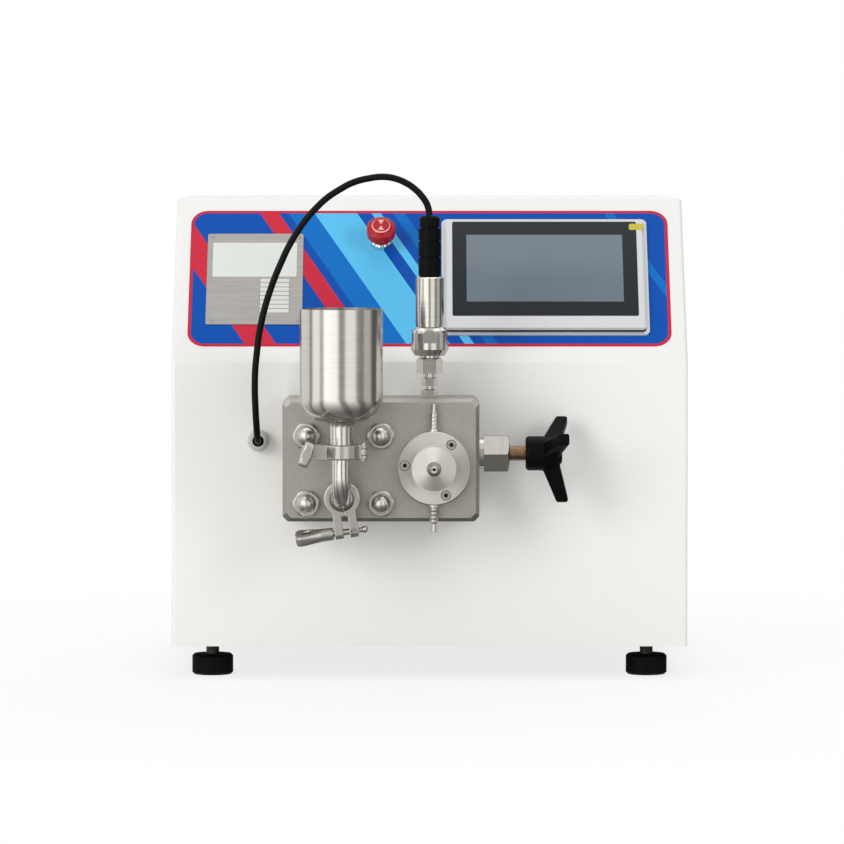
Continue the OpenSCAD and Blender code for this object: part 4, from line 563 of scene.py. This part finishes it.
# where each stripe starts, in mm across the film, and its colour
STRIPES = [(-300, "#0450AE"), (-226, "#CE2D42"), (-196, "#0450AE"), (-122, "#CE2D42"), (-104, "#0450AE"),
           (-96, "#0A6FC2"), (-70, "#5EC1EF"), (-26, "#0450AE"), (-14, "#5EC1EF"), (-4, "#0450AE"),
           (8, "#0A6FC2"), (20, "#0450AE"), (216, "#0A6FC2"), (226, "#0450AE")]
STRIPE_SPAN = 300.0
printed_film, tree, shader = start_material("printed_polyester_film", "#0450AE", 0, 0.32)
shader.inputs["Specular IOR Level"].default_value = 0.1
film_point = slope_mm(tree, along=OVERLAY_MIDDLE)
axes = add(tree, "SeparateXYZ", {0: film_point})
leaned = add(tree, "Math", {0: axes.outputs["Y"], 1: STRIPE_LEAN, 2: axes.outputs["X"]},
             operation="MULTIPLY_ADD")
across = add(tree, "MapRange", {"Value": leaned.outputs[0], "From Min": -STRIPE_SPAN,
                                "From Max": STRIPE_SPAN})
ramp = add(tree, "ValToRGB", {"Fac": across.outputs[0]})
ramp.color_ramp.interpolation = "CONSTANT"
bands = ramp.color_ramp.elements
while len(bands) < len(STRIPES):
    bands.new(0.5)
for band, (start, colour) in zip(bands, STRIPES):
    band.position = (start + STRIPE_SPAN) / (2 * STRIPE_SPAN)
    band.color = linear(colour)
to_edge = outside_by(tree, film_point, *OVERLAY_HALF, OVERLAY_CORNER)
outline = above(tree, to_edge, -OUTLINE_WIDTH)
tree.links.new(painted(tree, outline, ramp.outputs["Color"], "#C92B44"), shader.inputs["Base Color"])
# the film's velvet skin: a fine grain of about 0.6 mm
skin = add(tree, "TexNoise", {"Vector": film_point, "Scale": 1 / 0.6, "Detail": 2.0}).outputs["Fac"]
bump = add(tree, "Bump", {"Height": skin, "Distance": 0.006 * MM, "Strength": 1.0})
tree.links.new(bump.outputs[0], shader.inputs["Normal"])
dress(printed_film, "panel_overlay")

# %% [markdown]
# ## Name plate
# A brushed aluminium plate with a white field and a ruled table, both left bare. Brushing runs
# across it: noise stretched 40 to 1. The table's rows are a brick pattern with thin dark joints.

# %% Brushed aluminium plate
# middles and half sizes of the plate's fields, in mm across and up the slope
PLATE = (-171.0, 103.2)
FIELD, FIELD_HALF = (-171.4, 127.5), (41.2, 21.6)
TABLE, TABLE_HALF = (-151.3, 81.9), (14.5, 21.8)
TABLE_ROWS = 8
brushed_plate, tree, shader = start_material("brushed_aluminium", "#B3B1AD", 1, 0.38)
plate_point = slope_mm(tree, *PLATE)
drawn_out = add(tree, "VectorMath", {0: plate_point, 1: (1 / 40, 1, 1)}, operation="MULTIPLY")
brush = add(tree, "TexNoise", {"Vector": drawn_out.outputs[0], "Scale": 1 / 0.7, "Detail": 4.0}).outputs["Fac"]
metal_tone = shade_between(tree, brush, "#8D8B87", "#A09E9A")
field_point = slope_mm(tree, *FIELD)
field = add(tree, "Math", {0: outside_by(tree, field_point, *FIELD_HALF, 1.0), 1: 0.0},
            operation="LESS_THAN").outputs[0]
table_point = slope_mm(tree, *TABLE)
table = add(tree, "Math", {0: outside_by(tree, table_point, *TABLE_HALF, 0.6), 1: 0.0},
            operation="LESS_THAN").outputs[0]
table_corner = slope_mm(tree, TABLE[0] - TABLE_HALF[0], TABLE[1] - TABLE_HALF[1])
rows = add(tree, "TexBrick", {"Vector": table_corner, "Color1": linear("#D9D8D3"),
                              "Color2": linear("#D9D8D3"), "Mortar": linear("#5B5A57"), "Scale": 1.0,
                              "Mortar Size": 0.35, "Brick Width": 2 * TABLE_HALF[0],
                              "Row Height": 2 * TABLE_HALF[1] / TABLE_ROWS},
           offset=0.0).outputs["Color"]
with_table = painted(tree, table, metal_tone, rows)
tree.links.new(painted(tree, field, with_table, "#DDE1DA"), shader.inputs["Base Color"])
inked = add(tree, "Math", {0: field, 1: table}, operation="MAXIMUM").outputs[0]
bare = add(tree, "Math", {0: 1.0, 1: inked}, operation="SUBTRACT").outputs[0]
tree.links.new(bare, shader.inputs["Metallic"])
dress(brushed_plate, "nameplate")

# %% [markdown]
# ## Touch screen
# A silver-lacquered frame round a dark glass. Behind the glass the display is off: a slate grey
# field inside a darker printed border. The border and the field are one pane, so one material
# draws both, with a clear, sharp gloss over it.

# %% Screen frame and glass
silver_lacquer = grained("silver_lacquered_abs", "#C3C4C5", "#CECFD0", 0.35, (0.3, 0.38), 0.6, bump_mm=0.004)
dress(silver_lacquer, "hmi_case")
# the side walls between the frame and its lip get black rubber: a painted shadow, seen as a thin dark line
SHADOW_LINE_LEVELS = (2.4 * MM, 5.4 * MM)
slope_sin, slope_cos = math.sin(math.radians(41)), math.cos(math.radians(41))
case_mesh = nodes["hmi_case"].data
case_mesh.materials.append(black_rubber)
for face in case_mesh.polygons:
    facing = face.normal.z * slope_sin - face.normal.y * slope_cos
    level = (face.center.z - SLOPE_FOOT[2]) * slope_sin - (face.center.y - FRONT_Y) * slope_cos
    if abs(facing) < 0.3 and SHADOW_LINE_LEVELS[0] < level < SHADOW_LINE_LEVELS[1]:
        face.material_index = 1
# the count of side-wall faces that carry the painted shadow line
print("sealing strip faces:", sum(face.material_index for face in case_mesh.polygons))
DISPLAY, DISPLAY_HALF = (112.9, 112.4), (76.6, 42.4)
display_glass, tree, shader = start_material("display_glass", "#1C2026", 0, 0.12)
shader.inputs["Specular IOR Level"].default_value = 0.22
display_point = slope_mm(tree, *DISPLAY)
lit = add(tree, "Math", {0: outside_by(tree, display_point, *DISPLAY_HALF, 0.5), 1: 0.0},
          operation="LESS_THAN").outputs[0]
# painted reflection: the slate grey field is drawn lighter towards the top of the screen
rise = add(tree, "MapRange", {"Value": add(tree, "SeparateXYZ", {0: display_point}).outputs["Y"],
                              "From Min": -42.0, "From Max": 42.0})
field_tone_painted_sheen = shade_between(tree, rise.outputs[0], "#6A7780", "#737F88")
tree.links.new(painted(tree, lit, "#171C24", field_tone_painted_sheen), shader.inputs["Base Color"])
dress(display_glass, "hmi_glass")

# %% [markdown]
# ## Emergency stop
# A red mushroom head on a chrome collar. Its top carries plain release marks: a pale ring and two
# wedges. The marks are moulded in a paler red, so the head's own material draws them in the slope's
# coordinates round its axis.

# %% Red mushroom head
ESTOP = (-47.5, 149.5)
# the marks in mm: the ring's radius and half width, the wedges' flare and reach
RING_RADIUS, RING_HALF = 8.6, 0.5
WEDGE_FLARE, WEDGE_REACH = 0.55, 6.4
red_plastic, tree, shader = start_material("moulded_red_abs", "#B00A14", 0, 0.26)
shader.inputs["Specular IOR Level"].default_value = 0.3
head_point = add(tree, "VectorMath", {0: slope_mm(tree, *ESTOP), 1: (1, 1, 0)},
                 operation="MULTIPLY").outputs[0]
radius = add(tree, "VectorMath", {0: head_point}, operation="LENGTH").outputs["Value"]
ring = add(tree, "Math", {0: radius, 1: RING_RADIUS, 2: RING_HALF}, operation="COMPARE").outputs[0]
folded = add(tree, "VectorMath", {0: head_point}, operation="ABSOLUTE").outputs[0]
sides = add(tree, "SeparateXYZ", {0: folded}).outputs
# an hourglass: further up or down than across, and near the middle
wedge = add(tree, "Math", {0: sides["Y"], 1: WEDGE_FLARE, 2: -0.5}, operation="MULTIPLY_ADD").outputs[0]
within = add(tree, "Math", {0: sides["X"], 1: wedge}, operation="LESS_THAN").outputs[0]
near = add(tree, "Math", {0: sides["Y"], 1: WEDGE_REACH}, operation="LESS_THAN").outputs[0]
hourglass = add(tree, "Math", {0: within, 1: near}, operation="MULTIPLY").outputs[0]
marked = add(tree, "Math", {0: ring, 1: hourglass}, operation="MAXIMUM").outputs[0]
tree.links.new(painted(tree, marked, "#B00A14", "#F0B4AC"), shader.inputs["Base Color"])
dress(red_plastic, "estop_cap")

# %% [markdown]
# ## Cast and moulded edges
# The wing nuts and clamp jaws are investment castings and the knob is a moulding: no edge on them is
# sharp, because neither wax nor plastic fills a sharp corner. A bevel would need clean edge loops,
# which a triangulated solid hasn't got. So a copy is merged into one skin, rebuilt by the voxel
# remesh in small even faces, and relaxed by the Smooth modifier: corners sink in, flats stay flat.
# The wings of the wing nuts are rounder still. A second Smooth works through a vertex group there,
# whose weight grows with the distance from the nut's axis, so the bore keeps its size.

# %% Soften the castings and the knob
BORE_CLEAR, WING_FADE = 4.4 * MM, 3.0 * MM
WING_PASSES = 120


def round_wing(piece, joint):
    """Rounds what lies away from the axis of the joint that the nut turns on."""
    wing = piece.vertex_groups.new(name="wing")
    start, axis = Vector(joint["pos_m"]), Vector(joint["axis"])
    for vertex in piece.data.vertices:
        out = (vertex.co - start).cross(axis).length
        wing.add([vertex.index], min(1.0, max(0.0, (out - BORE_CLEAR) / WING_FADE)), "REPLACE")
    rounded = piece.modifiers.new("rounded_wing", "SMOOTH")
    rounded.factor = 0.5
    rounded.iterations = WING_PASSES
    rounded.vertex_group = "wing"
    bpy.ops.object.modifier_apply(modifier="rounded_wing")


def soften(node_name, piece_name, voxel, passes, body, turns_on=None):
    """A softened copy that stands in for a CAD node. voxel is the size of its faces, turns_on the name
    of a wing nut's joint."""
    bpy.ops.object.select_all(action="DESELECT")
    piece = bpy.data.objects.new(piece_name, nodes[node_name].data.copy())
    bpy.context.scene.collection.objects.link(piece)
    bpy.context.view_layer.objects.active = piece
    piece.select_set(True)
    bpy.ops.object.mode_set(mode="EDIT")
    bpy.ops.mesh.select_all(action="SELECT")
    bpy.ops.mesh.remove_doubles(threshold=0.001 * MM)
    bpy.ops.object.mode_set(mode="OBJECT")
    even = piece.modifiers.new("even_faces", "REMESH")
    even.mode = "VOXEL"
    even.voxel_size = voxel
    relaxed = piece.modifiers.new("relaxed_edges", "SMOOTH")
    relaxed.factor = 0.5
    relaxed.iterations = passes
    bpy.ops.object.modifier_apply(modifier="even_faces")
    bpy.ops.object.modifier_apply(modifier="relaxed_edges")
    if turns_on:
        round_wing(piece, next(j for j in frame["joints"] if j["name"] == turns_on))
    bpy.ops.object.shade_smooth()
    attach(piece, body)
    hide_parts(node_name)
    print(piece_name, "faces:", len(piece.data.polygons))
    return piece


CAST_VOXEL = 0.4 * MM
KNOB_VOXEL = 0.7 * MM
soften("handle_knob", "moulded_knob", KNOB_VOXEL, 8, "handle")
for clamp in ("upper", "lower"):
    soften(clamp + "_wing_nut", "cast_" + clamp + "_wing_nut", CAST_VOXEL, 5, clamp + "_nut",
           turns_on=clamp + "_nut_turn")
for jaw in ("upper_jaw_front", "upper_jaw_rear", "lower_jaw_left", "lower_jaw_right"):
    soften(jaw, "cast_" + jaw, CAST_VOXEL, 3, "cabinet")

# %% [markdown]
# ## The valve's screw thread
# The bronze stem is cut with a fine trapezoidal thread of about 1.5 mm pitch, which moves the push
# rod by that much per turn of the knob. A thread is one small profile swept round an axis while it
# climbs, and that is the Screw modifier. The profile is drawn from a single vertex, extruded step
# by step through one pitch: crest, flank, root, flank.

# %% Bronze stem with its thread
stem_points = [v.co for v in nodes["valve_stem"].data.vertices]
stem_start = min(p.x for p in stem_points)
stem_length = max(p.x for p in stem_points) - stem_start
stem_axis = [(min(p[i] for p in stem_points) + max(p[i] for p in stem_points)) / 2 for i in (1, 2)]
CREST = 7.5 * MM
DEPTH = 0.7 * MM
TURNS = 50
# one pitch of the profile: share of the pitch along the axis, and rise
PROFILE = [(0.2, 0), (0.25, -DEPTH), (0.3, 0), (0.25, DEPTH)]
pitch = stem_length / TURNS
bpy.ops.object.select_all(action="DESELECT")
bpy.ops.mesh.primitive_plane_add(size=MM)
stem = bpy.context.object
stem.name = "threaded_stem"
bpy.ops.object.mode_set(mode="EDIT")
bpy.ops.mesh.select_all(action="SELECT")
bpy.ops.mesh.merge(type="CENTER")
bpy.ops.transform.translate(value=(stem_start, 0, CREST))
for along, rise in PROFILE:
    bpy.ops.mesh.extrude_vertices_move(TRANSFORM_OT_translate={"value": (along * pitch, 0, rise)})
bpy.ops.object.mode_set(mode="OBJECT")
winding = stem.modifiers.new("winding", "SCREW")
winding.axis = "X"
winding.screw_offset = pitch
winding.iterations = TURNS - 1
winding.steps = winding.render_steps = 36
winding.use_merge_vertices = True
winding.merge_threshold = 0.001 * MM
bpy.ops.object.modifier_apply(modifier="winding")
bpy.ops.object.mode_set(mode="EDIT")
bpy.ops.mesh.select_all(action="SELECT")
bpy.ops.mesh.remove_doubles(threshold=0.001 * MM)
bpy.ops.mesh.normals_make_consistent(inside=False)
bpy.ops.transform.translate(value=(0, stem_axis[0], stem_axis[1]))
bpy.ops.object.mode_set(mode="OBJECT")
bpy.ops.object.shade_smooth_by_angle(angle=math.radians(30))
stem.data.materials.append(bronze)
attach(stem, "handle")
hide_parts("valve_stem")
print("thread pitch in mm:", round(pitch / MM, 3), "faces:", len(stem.data.polygons))

# %% [markdown]
# ## Hose barbs of the cooling jacket
# A coolant hose is pushed over each barb: a flange, four rings that let the hose on but not off, and
# a plain bored tip. The half section is again extruded point by point, this time spun right round
# an upright axis. The lower barb is the same, so it is duplicated and mirrored through the jacket.

# %% Ringed barbs
BARB_AXIS = (JACKET_CENTRE[0], FRONT_Y - 76.5 * MM)
JACKET_RADIUS = 35.25 * MM
# radius, and height over the jacket's rim, in mm
BARB_SECTION = [(0, -0.6), (5.8, -0.6), (5.8, 1.6), (5.4, 2.0), (3.7, 2.0)]
for ring_start in (2.6, 6.3, 10.0, 13.7):
    BARB_SECTION += [(3.7, ring_start), (4.2, ring_start + 0.3), (4.2, ring_start + 2.2),
                     (3.9, ring_start + 3.4)]
BARB_SECTION += [(2.6, 17.8), (2.6, 25.6), (2.3, 26.0), (1.6, 26.0), (1.6, 21.0), (0, 21.0)]
bpy.ops.object.select_all(action="DESELECT")
bpy.ops.mesh.primitive_plane_add(size=MM)
barbs = bpy.context.object
barbs.name = "ringed_hose_barbs"
bpy.ops.object.mode_set(mode="EDIT")
bpy.ops.mesh.select_all(action="SELECT")
bpy.ops.mesh.merge(type="CENTER")
barb_start = JACKET_CENTRE[2] + JACKET_RADIUS + BARB_SECTION[0][1] * MM
bpy.ops.transform.translate(value=(*BARB_AXIS, barb_start))
for (radius_a, height_a), (radius_b, height_b) in zip(BARB_SECTION, BARB_SECTION[1:]):
    bpy.ops.mesh.extrude_vertices_move(
        TRANSFORM_OT_translate={"value": ((radius_b - radius_a) * MM, 0, (height_b - height_a) * MM)})
bpy.ops.mesh.select_all(action="SELECT")
bpy.ops.mesh.spin(steps=48, angle=math.tau, center=(*BARB_AXIS, 0), axis=(0, 0, 1))
bpy.ops.mesh.select_all(action="SELECT")
bpy.ops.mesh.remove_doubles(threshold=0.01 * MM)
bpy.ops.mesh.duplicate()
bpy.ops.transform.resize(value=(1, 1, -1), center_override=JACKET_CENTRE)
bpy.ops.mesh.select_all(action="SELECT")
bpy.ops.mesh.normals_make_consistent(inside=False)
bpy.ops.object.mode_set(mode="OBJECT")
bpy.ops.object.shade_smooth_by_angle(angle=math.radians(30))
barbs.data.materials.append(brushed_round)
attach(barbs, "cabinet")
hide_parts("coolant_barbs")
barb_heights = [v.co.z for v in barbs.data.vertices]
print("barbs from", round(min(barb_heights), 4), "to", round(max(barb_heights), 4))

# %% [markdown]
# ## Rolled rim of the hopper
# A thin bowl gets a rolled edge, so that it neither cuts nor bends. Its section is a small circle,
# set on edge at the rim and spun right round the hopper's axis.

# %% Hopper rim
HOPPER_AXIS = (-83.5 * MM, FRONT_Y - 115 * MM)
RIM_RADIUS = 38.6 * MM
RIM_TOP = 361.8 * MM
BEAD = 0.85 * MM
bpy.ops.object.select_all(action="DESELECT")
bpy.ops.mesh.primitive_circle_add(vertices=14, radius=BEAD, rotation=(math.radians(90), 0, 0),
                                  location=(HOPPER_AXIS[0] + RIM_RADIUS, HOPPER_AXIS[1], RIM_TOP - BEAD))
bead = bpy.context.object
bead.name = "hopper_rolled_rim"
bpy.ops.object.transform_apply(location=True, rotation=True, scale=True)
bpy.ops.object.mode_set(mode="EDIT")
bpy.ops.mesh.select_all(action="SELECT")
bpy.ops.mesh.spin(steps=160, angle=math.tau, center=(*HOPPER_AXIS, 0), axis=(0, 0, 1))
bpy.ops.mesh.select_all(action="SELECT")
bpy.ops.mesh.remove_doubles(threshold=0.01 * MM)
bpy.ops.mesh.normals_make_consistent(inside=False)
bpy.ops.object.mode_set(mode="OBJECT")
bpy.ops.object.shade_smooth()
bead.data.materials.append(polished_steel)
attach(bead, "cabinet")
print("rim faces:", len(bead.data.polygons))

# %% [markdown]
# ## Screws of the rear panel
# The rear panel unscrews for service. Each screw has a low button head with a round drive socket:
# a short cylinder whose outer end is inset, sunk in, and whose rim is rounded by a bevel.

# %% Rear screws
REAR_FACE = FRONT_Y + 450 * MM
HEAD_RADIUS = 4.2 * MM
HEAD_HEIGHT = 2.4 * MM
SOCKET_WALL = 2.2 * MM
SOCKET_DEPTH = 1.3 * MM
HEAD_ROUND = 1.0 * MM
screw_places = [(side * 239 * MM, height * MM) for side in (-1, 1) for height in (52, 238, 424)]
screw_places += [(side * 90 * MM, height * MM) for side in (-1, 1) for height in (52, 424)]
first_x, first_z = screw_places[0]
bpy.ops.object.select_all(action="DESELECT")
bpy.ops.mesh.primitive_cylinder_add(vertices=36, radius=HEAD_RADIUS, depth=HEAD_HEIGHT,
                                    location=(first_x, REAR_FACE + HEAD_HEIGHT / 2, first_z),
                                    rotation=(math.radians(-90), 0, 0))
first_screw = bpy.context.object
bpy.ops.object.transform_apply(location=True, rotation=True, scale=True)


def select_faces(piece, wanted):
    """Selects the faces that a test picks, and leaves the piece in edit mode."""
    bpy.ops.object.mode_set(mode="EDIT")
    bpy.ops.mesh.select_all(action="DESELECT")
    bpy.ops.object.mode_set(mode="OBJECT")
    for face in piece.data.polygons:
        face.select = wanted(face)
    bpy.ops.object.mode_set(mode="EDIT")


select_faces(first_screw, lambda face: face.normal.y > 0.9)
bpy.ops.mesh.bevel(offset=HEAD_ROUND, segments=4)
select_faces(first_screw, lambda face: face.normal.y > 0.99 and len(face.vertices) > 4)
bpy.ops.mesh.inset(thickness=SOCKET_WALL - HEAD_ROUND)
bpy.ops.mesh.extrude_region_move(TRANSFORM_OT_translate={"value": (0, -SOCKET_DEPTH, 0)})
bpy.ops.object.mode_set(mode="OBJECT")
bpy.ops.object.shade_smooth_by_angle(angle=math.radians(35))
first_screw.data.materials.append(zinc_sheet)
for number, (x, z) in enumerate(screw_places):
    screw = first_screw
    if number:
        screw = bpy.data.objects.new("", first_screw.data.copy())
        bpy.context.scene.collection.objects.link(screw)
        for vertex in screw.data.vertices:
            vertex.co.x += x - first_x
            vertex.co.z += z - first_z
    screw.name = "rear_screw_%d" % (number + 1)
    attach(screw, "cabinet")
print("rear screws:", len(screw_places))

# %% [markdown]
# ## Pull tab of the screen's film
# The new screen still wears its clear protective film, whose yellow pull tab lies on the frame's
# upper right corner. It is a strip of thin polyester with two rounded corners: a plane turned to the
# slope, its corners rounded by a vertex bevel, given its thickness by the Solidify modifier.

# %% Yellow pull tab
TAB_X, TAB_ALONG, TAB_LEVEL = 203.5, 164.8, 7.0
TAB_WIDTH, TAB_HEIGHT, TAB_THICK = 14.0 * MM, 8.0 * MM, 0.15 * MM
TAB_CORNER = 2.0 * MM
tab_place = (TAB_X * MM, FRONT_Y + (TAB_ALONG * slope_sin - TAB_LEVEL * slope_cos) * MM,
             (307 + TAB_ALONG * slope_cos + TAB_LEVEL * slope_sin) * MM)
bpy.ops.object.select_all(action="DESELECT")
bpy.ops.mesh.primitive_plane_add(size=1, location=tab_place, rotation=SLOPE_TURN)
tab = bpy.context.object
tab.name = "film_pull_tab"
tab.scale = (TAB_WIDTH, TAB_HEIGHT, 1)
bpy.ops.object.transform_apply(location=True, rotation=True, scale=True)
bpy.ops.object.mode_set(mode="EDIT")
bpy.ops.mesh.select_all(action="SELECT")
bpy.ops.mesh.bevel(offset=TAB_CORNER, segments=5, affect="VERTICES")
bpy.ops.object.mode_set(mode="OBJECT")
solid = tab.modifiers.new("thickness", "SOLIDIFY")
solid.thickness = TAB_THICK
bpy.ops.object.modifier_apply(modifier="thickness")
yellow_film = grained("yellow_polyester_tab", "#BFB12A", "#CCBE34", 0, (0.3, 0.4), 1.5)
tab.data.materials.append(yellow_film)
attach(tab, "cabinet")
print("tab at", [round(v, 4) for v in tab_place])
